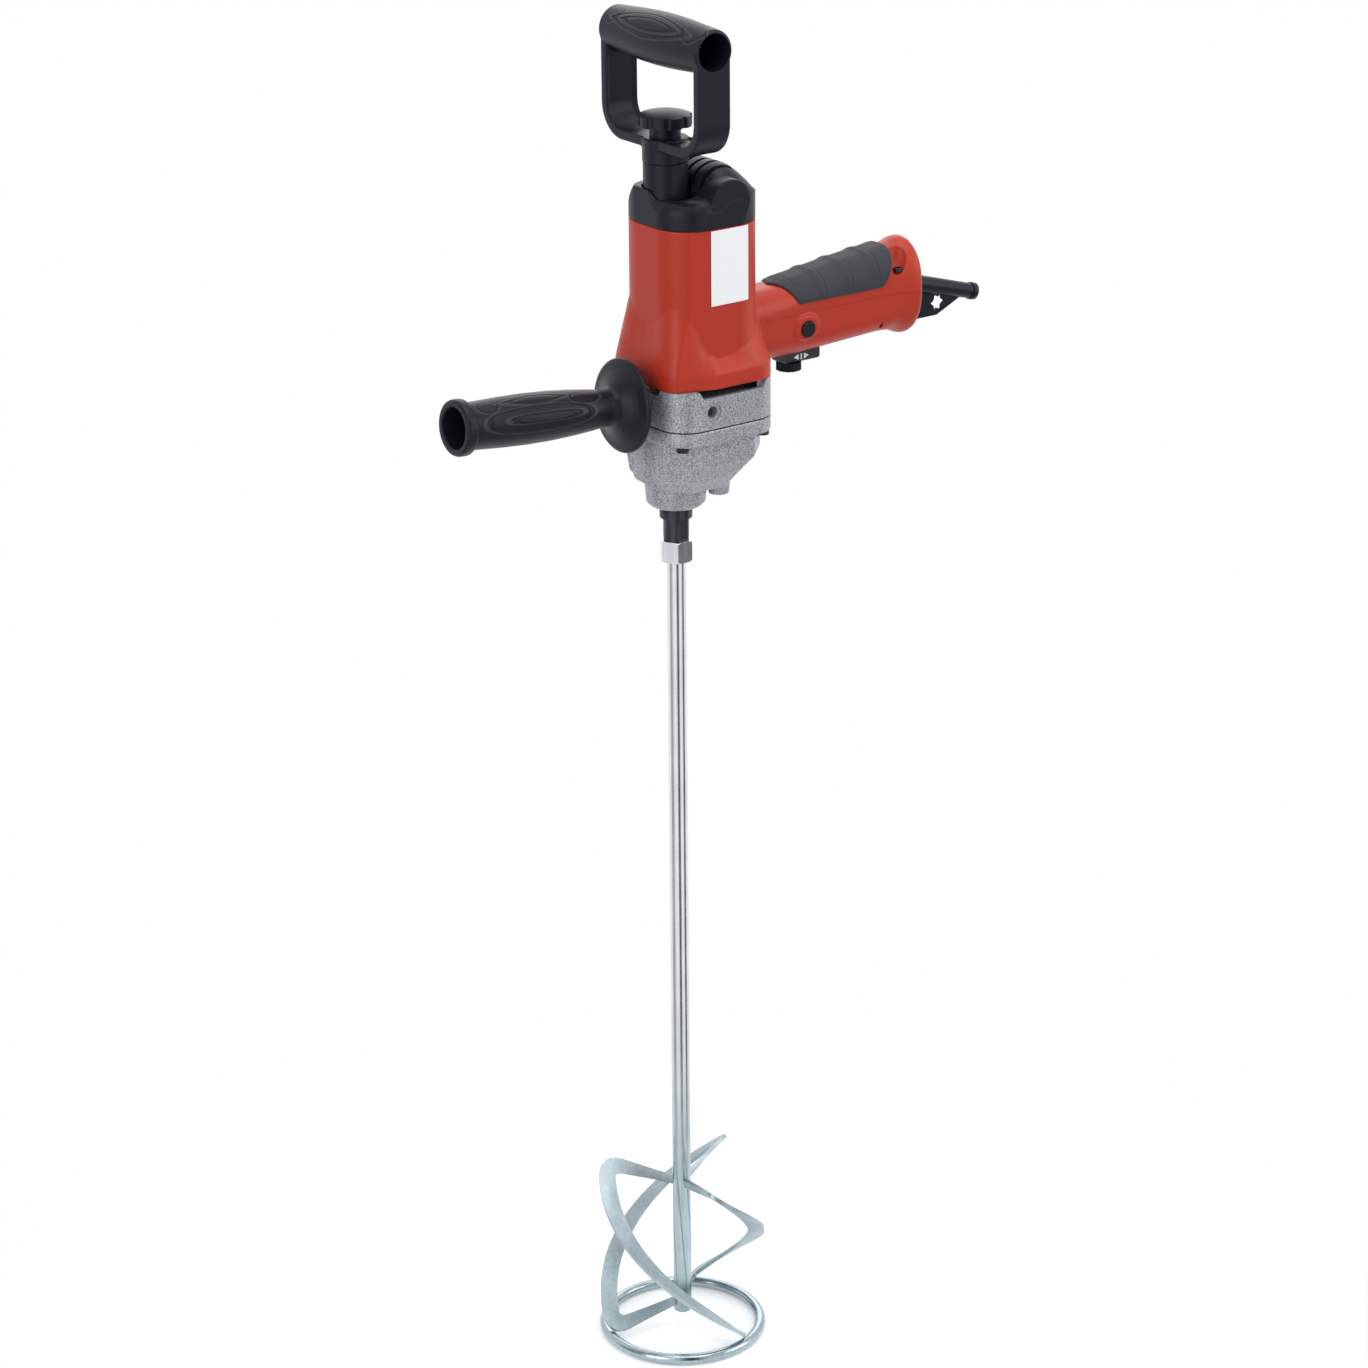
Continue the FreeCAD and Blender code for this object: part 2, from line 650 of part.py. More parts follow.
def paddle_nut():
    """Hexagon with chamfered corners and the threaded stud that screws into the spindle."""
    top = NUT_BASE_Z + NUT_H
    corner = NUT_FLATS / math.sqrt(3)
    inner = corner - NUT_CHAMFER
    rounder = turned([
        V(0, 0, NUT_BASE_Z), V(inner, 0, NUT_BASE_Z), V(corner + OVER, 0, NUT_BASE_Z + NUT_CHAMFER + OVER),
        V(corner + OVER, 0, top - NUT_CHAMFER - OVER), V(inner, 0, top), V(0, 0, top)])
    stud = cylinder(STUD_R, top - OVER, top + STUD_LEN)
    return fuse([hexagon(NUT_FLATS, NUT_BASE_Z, top).common(rounder), stud])


def blade_slope():
    return (BLADE_TOP_Z - BLADE_LOW_Z) / math.radians(BLADE_WRAP_DEG)


def bar_section(radius, angle, z, tilt):
    """An upright section across a blade arm at one radius, its wide side tilted from level."""
    along = V(math.cos(angle), math.sin(angle), 0)
    side = V(-math.sin(angle), math.cos(angle), 0)
    wide = side * math.cos(tilt) - Z_AXIS * math.sin(tilt)
    thick = side * math.sin(tilt) + Z_AXIS * math.cos(tilt)
    centre = along * radius + V(0, 0, z)
    corners = [(1, 1), (-1, 1), (-1, -1), (1, -1)]
    points = [centre + wide * (a * ARM_WIDE / 2) + thick * (b * BLADE_T / 2) for a, b in corners]
    return Part.makePolygon(points + [points[0]])


def blade_arm(angle, z, root_z):
    """One leaning arm from the rod out to the blade's outer strip, twisting flatter as it goes out."""
    reach = BLADE_REACH - BLADE_W / 2
    outer_tilt = math.atan(blade_slope() / reach)
    wires = [bar_section(ROD_R / 2, angle, root_z, math.radians(ARM_ROOT_TILT_DEG)),
             bar_section(BLADE_REACH - ARM_SHORTER, angle, z, outer_tilt)]
    return loft(wires)


def paddle_blade(start_degrees):
    """A flat bar bent into a screw strip with an arm back to the rod at each end."""
    height = BLADE_TOP_Z - BLADE_LOW_Z
    wrap = math.radians(BLADE_WRAP_DEG)
    middle = BLADE_REACH - BLADE_W / 2
    pitch = height * 2 * math.pi / wrap
    spine = Part.makeHelix(pitch, height, middle, 0, True)
    stand = BLADE_T / math.cos(math.atan(blade_slope() / middle)) / 2
    profile = Part.makePolygon([
        V(middle - BLADE_W / 2, 0, -stand), V(middle + BLADE_W / 2, 0, -stand),
        V(middle + BLADE_W / 2, 0, stand), V(middle - BLADE_W / 2, 0, stand),
        V(middle - BLADE_W / 2, 0, -stand)])
    pipe = Part.BRepOffsetAPI.MakePipeShell(Part.Wire(spine.Edges))
    pipe.setBiNormalMode(Z_AXIS)
    pipe.add(profile)
    pipe.build()
    pipe.makeSolid()
    strip = pipe.shape()
    strip.translate(V(0, 0, BLADE_LOW_Z))
    high_arm = blade_arm(-wrap, BLADE_TOP_Z, BLADE_TOP_Z - ARM_LEAN)
    low_arm = blade_arm(0, BLADE_LOW_Z, BLADE_LOW_Z + ARM_LEAN)
    blade = fuse([strip, high_arm, low_arm])
    return spun(blade, start_degrees + BLADE_WRAP_DEG)


# Output spindle
def spindle():
    """Black steel spindle: spanner flats, collar, bearing journal, gear seat and top journal."""
    seat_z = BEARING_Z + BEARING_H + RETAINER_H + GAP
    shaft = fuse([
        cylinder(SPINDLE_TIP_R, TIP_Z, COLLAR_Z),
        cylinder(COLLAR_R, COLLAR_Z, JOURNAL_Z),
        cylinder(JOURNAL_R, JOURNAL_Z - OVER, seat_z),
        cylinder(GEAR_SEAT_R, seat_z - OVER, GEAR_2_TOP_Z + OVER),
        cylinder(TOP_JOURNAL_R, GEAR_2_TOP_Z, SPINDLE_TOP_Z)])
    wide = SPINDLE_TIP_R + OVER
    for side in (1, -1):
        near, far = sorted((side * SPINDLE_FLATS / 2, side * wide))
        shaft = shaft.cut(block(-wide, wide, near, far, TIP_Z - OVER, COLLAR_Z))
    shaft = shaft.cut(cylinder(STUD_R + FIT, TIP_Z - OVER, TIP_Z + SPINDLE_BORE_LEN))
    return shaft.cut(key_slot(FIT))


def key_slot(spare):
    """Room of the key between spindle and output gear."""
    half = KEY_W / 2 + spare
    inner = GEAR_SEAT_R - KEY_H / 2 - spare
    outer = GEAR_SEAT_R + KEY_H / 2 + spare
    return block(inner, outer, -half, half, GEAR_2_BASE_Z, GEAR_2_TOP_Z)


def gear_key():
    return key_slot(0)


def retaining_ring():
    low = BEARING_Z + BEARING_H
    return tube(RETAINER_R, JOURNAL_R + FIT, low + GAP / 2, low + GAP / 2 + RETAINER_H)


def spindle_bearing():
    return tube(BEARING_R, JOURNAL_R + RUN, BEARING_Z, BEARING_Z + BEARING_H)


def spindle_seal():
    return tube(SEAL_R, JOURNAL_R + RUN, SEAL_Z, SEAL_Z + SEAL_H)


def spindle_bush():
    return tube(TOP_JOURNAL_R + BUSH_WALL, TOP_JOURNAL_R + RUN, TOP_BUSH_Z, SPINDLE_TOP_Z)


# Gears
def involute(angle):
    return math.tan(angle) - angle


def gear_outline(module, teeth, shift, phase):
    """Involute outline with a tooth centred on the phase angle."""
    pitch = module * teeth / 2
    pressure = math.radians(PRESSURE_DEG)
    base = pitch * math.cos(pressure)
    tip = pitch + module * (ADDENDUM_SHARE + shift)
    root = pitch - module * (DEDENDUM_SHARE - shift)
    thick = module * (math.pi / 2 + 2 * shift * math.tan(pressure) - BACKLASH_SHARE)
    half = thick / (2 * pitch) + involute(pressure)
    start = max(base, root)
    flank = [start + (tip - start) * i / FLANK_STEPS for i in range(FLANK_STEPS + 1)]
    rising = [(r, half - involute(math.acos(min(base / r, 1)))) for r in flank]
    if root < base:
        rising.insert(0, (root, rising[0][1]))
    points = []
    for i in range(teeth):
        middle = phase + 2 * math.pi * i / teeth
        points += [(r, middle - a) for r, a in rising]
        points += [(r, middle + a) for r, a in reversed(rising)]
    corners = [V(r * math.cos(a), r * math.sin(a), 0) for r, a in points]
    return Part.makePolygon(corners + [corners[0]])


def gear_body(module, teeth, shift, low, face, x, y, phase):
    body = Part.Face(gear_outline(module, teeth, shift, phase)).extrude(V(0, 0, face))
    body.translate(V(x, y, low))
    return body


TO_LAY_FROM_MOTOR = math.atan2(LAY_Y, LAY_X - MOTOR_X)
TO_LAY_FROM_SPINDLE = math.atan2(LAY_Y, LAY_X)


def output_gear():
    """Output gear: a tooth gap faces the layshaft."""
    phase = TO_LAY_FROM_SPINDLE + math.pi / GEAR_2_TEETH
    gear = gear_body(MODULE_2, GEAR_2_TEETH, -SHIFT_2_SHARE, GEAR_2_BASE_Z, GEAR_2_FACE, 0, 0, phase)
    bore = cylinder(GEAR_SEAT_R + FIT, GEAR_2_BASE_Z - OVER, GEAR_2_TOP_Z + OVER)
    return gear.cut(bore).cut(key_slot(FIT))


def layshaft():
    """Layshaft with its pinion cut on it: a tooth faces the spindle."""
    top = WEB_LOW_Z + LAYSHAFT_BUSH_H
    low = GEAR_2_BASE_Z - PINION_SPARE
    high = GEAR_2_TOP_Z + PINION_SPARE
    phase = TO_LAY_FROM_SPINDLE + math.pi
    pinion = gear_body(MODULE_2, PINION_2_TEETH, SHIFT_2_SHARE, low, high - low, LAY_X, LAY_Y, phase)
    return fuse([cylinder(LAYSHAFT_R, LAYSHAFT_FOOT_Z, low, LAY_X, LAY_Y), pinion,
                 cylinder(LAYSHAFT_R, high, top, LAY_X, LAY_Y)])


def layshaft_gear():
    """Layshaft gear: a tooth gap faces the motor pinion."""
    phase = TO_LAY_FROM_MOTOR + math.pi + math.pi / GEAR_1_TEETH
    gear = gear_body(MODULE_1, GEAR_1_TEETH, -SHIFT_1_SHARE, GEAR_1_BASE_Z, GEAR_1_FACE, LAY_X, LAY_Y, phase)
    return gear.cut(cylinder(LAYSHAFT_R + FIT, GEAR_1_BASE_Z - OVER, GEAR_1_TOP_Z + OVER,
                             LAY_X, LAY_Y))


def layshaft_low_bush():
    return tube(LAYSHAFT_R + BUSH_WALL, LAYSHAFT_R + RUN, LAYSHAFT_FOOT_Z, LAYSHAFT_FOOT_Z + LAYSHAFT_BUSH_H,
                LAY_X, LAY_Y)


def layshaft_top_bush():
    return tube(LAYSHAFT_R + BUSH_WALL, LAYSHAFT_R + RUN, WEB_LOW_Z, WEB_LOW_Z + LAYSHAFT_BUSH_H,
                LAY_X, LAY_Y)


# Gearbox castings
def corner_places(spread, centre_x=MOTOR_X):
    return [(centre_x + a * spread, b * spread) for a, b in ((1, 1), (-1, 1), (-1, -1), (1, -1))]


def case_loft(inset):
    """The case body between rim and floor, drawn in by a wall where it is hollow."""
    stations = [
        (CASE_SHOULDER_HALF, RIM_LOW_Z, MOTOR_X), (CASE_BELT_HALF, CASE_BELT_Z, MOTOR_X),
        (CASE_WAIST_HALF, CASE_WAIST_Z, CASE_LOW_X), (CASE_FLOOR_HALF, CASE_FLOOR_Z + inset, CASE_LOW_X)]
    return loft([square_section(half - inset, half * CASE_CORNER_SHARE - inset, z, x)
                 for half, z, x in stations])


def gear_case():
    """Lower casting: rim, tapering body, nose with bearing and seal seats, layshaft boss."""
    nose = turned([
        V(0, 0, NOSE_BASE_Z), V(NOSE_R - NOSE_CHAMFER, 0, NOSE_BASE_Z),
        V(NOSE_R, 0, NOSE_BASE_Z + NOSE_CHAMFER), V(NOSE_TOP_R, 0, CASE_FLOOR_Z),
        V(NOSE_TOP_R, 0, CASE_FLOOR_Z + CASE_WALL),
        V(0, 0, CASE_FLOOR_Z + CASE_WALL)])
    bush_r = LAYSHAFT_R + BUSH_WALL + FIT
    boss = cylinder(bush_r + BOSS_WALL, BOSS_BASE_Z, LAYSHAFT_FOOT_Z + LAYSHAFT_BUSH_H, LAY_X, LAY_Y)
    rim = square_prism(BASE_HALF, BASE_CORNER, RIM_LOW_Z, PARTING_Z)
    rim_hollow = square_prism(CASE_ROOM_HALF, CASE_ROOM_CORNER, RIM_LOW_Z, PARTING_Z + OVER)
    hollow = case_loft(CASE_WALL)
    body = fuse([rim.cut(rim_hollow), case_loft(0)])
    well_r = MODULE_2 * (GEAR_2_TEETH / 2 + ADDENDUM_SHARE - SHIFT_2_SHARE) + GEAR_WELL_SPARE
    well = cylinder(well_r + GEAR_WELL_WALL, GEAR_WELL_Z, RIM_LOW_Z + OVER)
    body = fuse([body, fuse([nose, boss]), well])
    body = body.cut(hollow)
    body = body.cut(cylinder(well_r, GEAR_WELL_Z + GEAR_WELL_WALL, PARTING_Z + OVER))
    lay_tip = MODULE_1 * (GEAR_1_TEETH / 2 + ADDENDUM_SHARE - SHIFT_1_SHARE)
    body = body.cut(cylinder(lay_tip + LAY_WELL_SPARE, GEAR_1_BASE_Z - OVER, PARTING_Z + OVER, LAY_X, LAY_Y))
    body = body.cut(cylinder(BEARING_R + FIT, BEARING_Z - GAP, CASE_FLOOR_Z + CASE_WALL + OVER))
    body = body.cut(cylinder(SEAL_R + FIT, SEAL_Z - GAP - OVER, BEARING_Z))
    bush_top = LAYSHAFT_FOOT_Z + LAYSHAFT_BUSH_H
    body = body.cut(cylinder(bush_r, LAYSHAFT_FOOT_Z - GAP, bush_top + OVER, LAY_X, LAY_Y))
    for x, y in corner_places(SCREW_SPREAD):
        body = body.cut(cylinder(SCREW_R + FIT, RIM_LOW_Z - OVER, PARTING_Z + OVER, x, y))
        body = body.cut(cylinder(SCREW_HEAD_R + GAP, RIM_LOW_Z - SCREW_HEAD_H - OVER, RIM_LOW_Z, x, y))
    return body


def gear_gasket():
    outer = square_prism(BASE_HALF - GASKET_T, BASE_CORNER, PARTING_Z, PLATE_BASE_Z)
    inner = square_prism(CASE_ROOM_HALF, CASE_ROOM_CORNER,
                         PARTING_Z - OVER, PLATE_BASE_Z + OVER)
    gasket = outer.cut(inner)
    for x, y in corner_places(SCREW_SPREAD):
        gasket = gasket.cut(cylinder(SCREW_R + FIT, PARTING_Z - OVER, PLATE_BASE_Z + OVER, x, y))
    return gasket


def window_cutter(x0, x1, y0, y1):
    """An air window under the housing, its ends slanting in towards the bottom."""
    low = HOUSING_BASE_Z - WINDOW_H
    slant = WINDOW_SLANT
    outline = Part.makePolygon([
        V(x0, y0, HOUSING_BASE_Z + OVER), V(x1, y0, HOUSING_BASE_Z + OVER), V(x1 - slant, y0, low),
        V(x0 + slant, y0, low), V(x0, y0, HOUSING_BASE_Z + OVER)])
    return Part.Face(outline).extrude(V(0, y1 - y0, 0))


def socket_cutter():
    """Threaded hole and spot face for the side handle on the -Y side."""
    face_y = -BASE_HALF + SPOT_DEPTH
    spot = Part.makeCylinder(SPOT_R, SPOT_DEPTH + OVER, V(0, face_y, SOCKET_Z), V(0, -1, 0))
    hole = Part.makeCylinder(SOCKET_R, SOCKET_DEPTH + SPOT_DEPTH + OVER,
                             V(0, face_y - SPOT_DEPTH - OVER, SOCKET_Z), Y_AXIS)
    return fuse([spot, hole])


def gear_plate():
    """Upper casting: bearing web, rim with air windows, sockets for the side handle."""
    plate = square_prism(BASE_HALF, BASE_CORNER, PLATE_BASE_Z, HOUSING_BASE_Z)
    low_room = square_prism(CASE_ROOM_HALF, CASE_ROOM_CORNER,
                            PLATE_BASE_Z - OVER, WEB_LOW_Z)
    fan_room = square_prism(BASE_HALF - PLATE_WALL, BASE_CORNER, WEB_TOP_Z, HOUSING_BASE_Z + OVER)
    plate = plate.cut(low_room).cut(fan_room)
    bush_r = TOP_JOURNAL_R + BUSH_WALL + FIT
    plate = fuse([plate, cylinder(bush_r + SPINDLE_BOSS_WALL, SPINDLE_BOSS_Z, WEB_LOW_Z + OVER)])
    bores = [
        cylinder(bush_r, SPINDLE_BOSS_Z - OVER, SPINDLE_TOP_Z + GAP),
        cylinder(LAYSHAFT_R + BUSH_WALL + FIT, WEB_LOW_Z - OVER, WEB_LOW_Z + LAYSHAFT_BUSH_H + GAP,
                 LAY_X, LAY_Y),
        cylinder(LOW_BEARING_R + FIT, LOW_BEARING_Z, WEB_TOP_Z + OVER, MOTOR_X),
        cylinder(SHAFT_LOW_R + BUSH_WALL, WEB_LOW_Z - OVER, LOW_BEARING_Z + OVER, MOTOR_X)]
    far = BASE_HALF + OVER
    side = window_cutter(MOTOR_X - WINDOW_LEFT, MOTOR_X + WINDOW_RIGHT, -far, -BASE_HALF + PLATE_WALL + OVER)
    half = FRONT_WINDOW_HALF
    front = window_cutter(-half, half, 0, PLATE_WALL + 2 * OVER)
    front.rotate(V(0, 0, 0), Z_AXIS, 90)
    front.translate(V(MOTOR_X - BASE_HALF + PLATE_WALL + OVER, 0, 0))
    socket = socket_cutter()
    stud = side_placed(Part.makeCylinder(SIDE_STUD_R + FIT, SIDE_STUD_IN + OVER, V(0, 0, -SIDE_STUD_IN)))
    for cutter in bores + [side, mirrored(side), front, socket, mirrored(socket), stud]:
        plate = plate.cut(cutter)
    for x, y in corner_places(SCREW_SPREAD):
        plate = plate.cut(cylinder(SCREW_R + FIT, PLATE_BASE_Z - OVER, HOUSING_BASE_Z + OVER, x, y))
    return plate


def cap_head_screw(radius, head_radius, head_height, length):
    """A screw standing on its thread, head down at height zero."""
    head = cylinder(head_radius, -head_height, 0)
    flats = 2 * head_radius * HEX_SOCKET_SHARE
    socket = hexagon(flats, -head_height - OVER, -head_height * (1 - HEX_DEPTH_SHARE))
    return fuse([head, cylinder(radius, -OVER, length)]).cut(socket)


def case_screws():
    screw = cap_head_screw(SCREW_R, SCREW_HEAD_R, SCREW_HEAD_H, SCREW_LEN)
    screws = []
    for x, y in corner_places(SCREW_SPREAD):
        copy = screw.copy()
        copy.translate(V(x, y, RIM_LOW_Z))
        screws.append(copy)
    return Part.makeCompound(screws)


# Motor housing and rear handle
def dip_cutter(shares, centre):
    """Room above the skirt's wavy edge on the -Y side, sloping out and down."""
    points = [(centre + a * BASE_HALF, HOUSING_BASE_Z + b * SKIRT_H) for a, b in shares]
    outlines = []
    for y, drop in ((-COLUMN_HALF, 0), (-BASE_HALF - OVER, SKIRT_FADE)):
        corners = [V(x, y, z - drop) for x, z in points]
        corners += [V(points[-1][0], y, HOUSING_TOP_Z), V(points[0][0], y, HOUSING_TOP_Z)]
        outlines.append(Part.makePolygon(corners + [corners[0]]))
    return loft(outlines)


def housing_outer(spare=0):
    """Motor column with the flared skirt round its foot."""
    column = square_prism(COLUMN_HALF + spare, COLUMN_CORNER, HOUSING_BASE_Z, HOUSING_TOP_Z)
    skirt = loft([
        square_section(BASE_HALF + spare, BASE_CORNER, HOUSING_BASE_Z),
        square_section(BASE_HALF + spare, BASE_CORNER, SKIRT_STRAIGHT_Z),
        square_section(COLUMN_HALF + spare, COLUMN_CORNER, SKIRT_PEAK_Z)])
    side = dip_cutter(SIDE_DIP_SHARES, MOTOR_X)
    front = dip_cutter(FRONT_DIP_SHARES, 0)
    front.rotate(V(0, 0, 0), Z_AXIS, -90)
    front.translate(V(MOTOR_X, 0, 0))
    return fuse([column, skirt.cut(side).cut(mirrored(side)).cut(front)])


def handle_section(x, half_w, low, top, corner):
    return rounded_rectangle(V(x, 0, (low + top) / 2), Y_AXIS, Z_AXIS, half_w, (top - low) / 2, corner)


def handle_loft(inset, end_x):
    """The handle's outer form, or its room when drawn in by the wall."""
    corner = GRIP_CORNER - inset
    stations = [
        (ROOT_X, ROOT_HALF_W, ROOT_LOW_Z, ROOT_TOP_Z),
        (GRIP_FRONT_X, GRIP_HALF_W, GRIP_FRONT_LOW_Z, GRIP_FRONT_TOP_Z),
        (GRIP_BACK_X, GRIP_HALF_W, GRIP_BACK_LOW_Z, GRIP_BACK_TOP_Z),
        (end_x, GRIP_HALF_W, GRIP_BACK_LOW_Z, GRIP_BACK_TOP_Z)]
    return loft([handle_section(x, half_w - inset, low + inset, top - inset, corner)
                 for x, half_w, low, top in stations])


def end_flange():
    """The rounded guard at the handle's end."""
    corner = FLANGE_HALF_W - OVER
    section = handle_section(FLANGE_X0, FLANGE_HALF_W, FLANGE_LOW_Z, FLANGE_TOP_Z, corner)
    flange = Part.Face(section).extrude(V(FLANGE_X1 - FLANGE_X0, 0, 0))
    return flange.makeFillet(FLANGE_ROUND, flange.Edges)


def handle_flare():
    """The handle widening from its grip into the guard."""
    half_w = FLANGE_HALF_W - FLARE_INSET
    wide = handle_section(FLANGE_X0 + FLANGE_ROUND, half_w, FLANGE_LOW_Z + FLARE_INSET,
                          FLANGE_TOP_Z - FLARE_INSET, half_w - OVER)
    return loft([handle_section(FLARE_X, GRIP_HALF_W, GRIP_BACK_LOW_Z, GRIP_BACK_TOP_Z, GRIP_CORNER), wide])


def handle_outer():
    boss = Part.makeCylinder(BUTTON_R + BUTTON_BOSS_WALL, GRIP_HALF_W + BUTTON_BOSS_PROUD,
                             V(BUTTON_X, 0, BUTTON_Z), V(0, -1, 0))
    return fuse([handle_loft(0, FLARE_X + OVER), handle_flare(), end_flange(), boss])


def handle_hollow():
    """The room inside the handle, closed behind by the flange's back wall."""
    room = handle_loft(HANDLE_WALL, FLARE_X)
    exit_hole = Part.makeCylinder(RELIEF_ROOT_R + FIT, HANDLE_WALL + 2 * OVER,
                                  V(FLANGE_X1 - HANDLE_WALL - OVER, 0, RELIEF_ROOT_Z), X_AXIS)
    inner_end = FLANGE_X1 - HANDLE_WALL
    plug_room = Part.makeCylinder(RELIEF_PLUG_R + FIT, inner_end - FLARE_X + OVER,
                                  V(inner_end, 0, RELIEF_ROOT_Z), V(-1, 0, 0))
    return fuse([room, exit_hole, plug_room])


def half_space(low, high):
    far = FLANGE_X1 + OVER
    return block(0, far, -BASE_HALF, BASE_HALF, low, high)


def screw_pockets():
    """Deep recesses in the flange's upper sides, with a hole down for the handle screws."""
    pockets = []
    for side in (-1, 1):
        y = side * POCKET_Y
        pockets.append(cylinder(POCKET_R, POCKET_Z, FLANGE_TOP_Z + OVER, POCKET_X, y))
        pockets.append(cylinder(HANDLE_SCREW_R + FIT, POCKET_Z - HANDLE_SCREW_LEN - GAP, POCKET_Z + OVER,
                                POCKET_X, y))
    return pockets


def motor_housing():
    """Red moulding: motor column, flared skirt and the lower half of the rear handle."""
    lower = handle_outer().common(half_space(FLANGE_LOW_Z - OVER, SEAM_Z))
    body = fuse([housing_outer(), lower])
    inner = COLUMN_HALF - HOUSING_WALL
    room = square_prism(inner, COLUMN_CORNER, HOUSING_BASE_Z - OVER, HOUSING_TOP_Z - TOP_WALL)
    fan_room = square_prism(BASE_HALF - PLATE_WALL, BASE_CORNER, HOUSING_BASE_Z - OVER, BAFFLE_Z)
    body = body.cut(handle_hollow().cut(square_prism(COLUMN_HALF, COLUMN_CORNER, 0, HOUSING_TOP_Z)))
    body = body.cut(fuse([room, fan_room]))
    boss_r = TOP_BEARING_R + BEARING_BOSS_WALL
    boss = tube(boss_r, TOP_BEARING_R + FIT, TOP_BEARING_Z, HOUSING_TOP_Z - TOP_WALL + OVER, MOTOR_X)
    cap = cylinder(boss_r, TOP_BEARING_TOP_Z + GAP, HOUSING_TOP_Z - OVER, MOTOR_X)
    cap = cap.cut(cylinder(SHAFT_TOP_R + BUSH_WALL, TOP_BEARING_Z, HOUSING_TOP_Z - TOP_WALL, MOTOR_X))
    hole_r = CLAMP_SCREW_R + FIT
    clamp_bosses = [tube(hole_r + CLAMP_BOSS_WALL, hole_r, GRIP_BACK_LOW_Z + OVER, SEAM_Z - CLAMP_H,
                         CLAMP_X + CLAMP_L / 2, side * CLAMP_SCREW_Y) for side in (-1, 1)]
    body = fuse([body, boss, cap] + clamp_bosses)
    for x, y in corner_places(AIR_HOLE_SPREAD):
        body = body.cut(cylinder(AIR_HOLE_R, HOUSING_TOP_Z - TOP_WALL - OVER, HOUSING_TOP_Z + OVER, x, y))
    trigger_room = block(TRIGGER_X0 - GAP, TRIGGER_X1 + GAP, -TRIGGER_HALF_W - GAP, TRIGGER_HALF_W + GAP,
                         FLANGE_LOW_Z - OVER, (GRIP_FRONT_LOW_Z + SEAM_Z) / 2)
    button_room = Part.makeCylinder(BUTTON_R + GAP, GRIP_HALF_W + BUTTON_BOSS_PROUD + OVER,
                                    V(BUTTON_X, 0, BUTTON_Z), V(0, -1, 0))
    for cutter in [trigger_room, button_room] + screw_pockets() + cap_screw_holes(HOUSING_TOP_Z + OVER):
        body = body.cut(cutter)
    return body


def pad_region():
    """Side outline of the soft pad: slanting front, level lower edge, rounded rear corner."""
    top = FLANGE_TOP_Z + OVER
    inset = PAD_CORNER * (1 - DIAGONAL_SHARE)
    start = V(GRIP_FRONT_X - PAD_TOE, 0, PAD_LOW_Z)
    corner = V(PAD_BACK_X - PAD_CORNER, 0, PAD_LOW_Z)
    bend = V(PAD_BACK_X - inset, 0, PAD_LOW_Z + inset)
    rise = V(PAD_BACK_X, 0, PAD_LOW_Z + PAD_CORNER)
    front_top = V(PAD_FRONT_X, 0, GRIP_FRONT_TOP_Z)
    edges = [
        Part.makeLine(start, corner), Part.Arc(corner, bend, rise).toShape(),
        Part.makeLine(rise, V(PAD_BACK_X, 0, top)),
        Part.makeLine(V(PAD_BACK_X, 0, top), V(PAD_FRONT_X, 0, top)),
        Part.makeLine(V(PAD_FRONT_X, 0, top), front_top), Part.makeLine(front_top, start)]
    face = Part.Face(Part.Wire(edges))
    region = face.extrude(V(0, 2 * BASE_HALF, 0))
    region.translate(V(0, -BASE_HALF, 0))
    return region


def grip_pad():
    """Soft pad over the top of the handle, with finger grooves."""
    pad = handle_loft(-PAD_PROUD, FLANGE_X0).cut(handle_loft(PAD_T, FLANGE_X0)).common(pad_region())
    floor = handle_loft(GROOVE_DEPTH, FLANGE_X0)
    for i in range(GROOVE_COUNT):
        x = GRIP_FRONT_X + GROOVE_LEAD + i * GROOVE_PITCH
        groove = block(x, x + GROOVE_W, -BASE_HALF, BASE_HALF, PAD_LOW_Z + GROOVE_RISE, FLANGE_TOP_Z)
        pad = pad.cut(groove.cut(floor))
    return pad


def handle_cover():
    """Red upper half of the rear handle, recessed for the pad."""
    upper = handle_outer().common(half_space(SEAM_Z, FLANGE_TOP_Z + OVER))
    upper = upper.cut(handle_hollow()).cut(housing_outer(FIT))
    outside = handle_loft(-PAD_PROUD - OVER, FLANGE_X0)
    recess = outside.cut(handle_loft(PAD_T + FIT, FLANGE_X0)).common(pad_region())
    upper = upper.cut(recess)
    for cutter in screw_pockets():
        upper = upper.cut(cutter)
    return upper


def handle_screws():
    screws = []
    for side in (-1, 1):
        screw = cap_head_screw(HANDLE_SCREW_R, HANDLE_SCREW_HEAD_R, HANDLE_SCREW_HEAD_H, HANDLE_SCREW_LEN)
        screw.rotate(V(0, 0, 0), X_AXIS, 180)
        screw.translate(V(POCKET_X, side * POCKET_Y, POCKET_Z))
        screws.append(screw)
    return Part.makeCompound(screws)


def name_plate():
    """Thin bare plate on the column's -Y side, following its curve."""
    low = PLATE_TOP_Z - PLATE_H
    plate = square_prism(COLUMN_HALF + PLATE_T, COLUMN_CORNER, low, PLATE_TOP_Z)
    plate = plate.cut(square_prism(COLUMN_HALF + FIT, COLUMN_CORNER, low - OVER, PLATE_TOP_Z + OVER))
    side = block(MOTOR_X - PLATE_LEFT, MOTOR_X + PLATE_RIGHT, -BASE_HALF, 0, low - OVER, PLATE_TOP_Z + OVER)
    return plate.common(side)


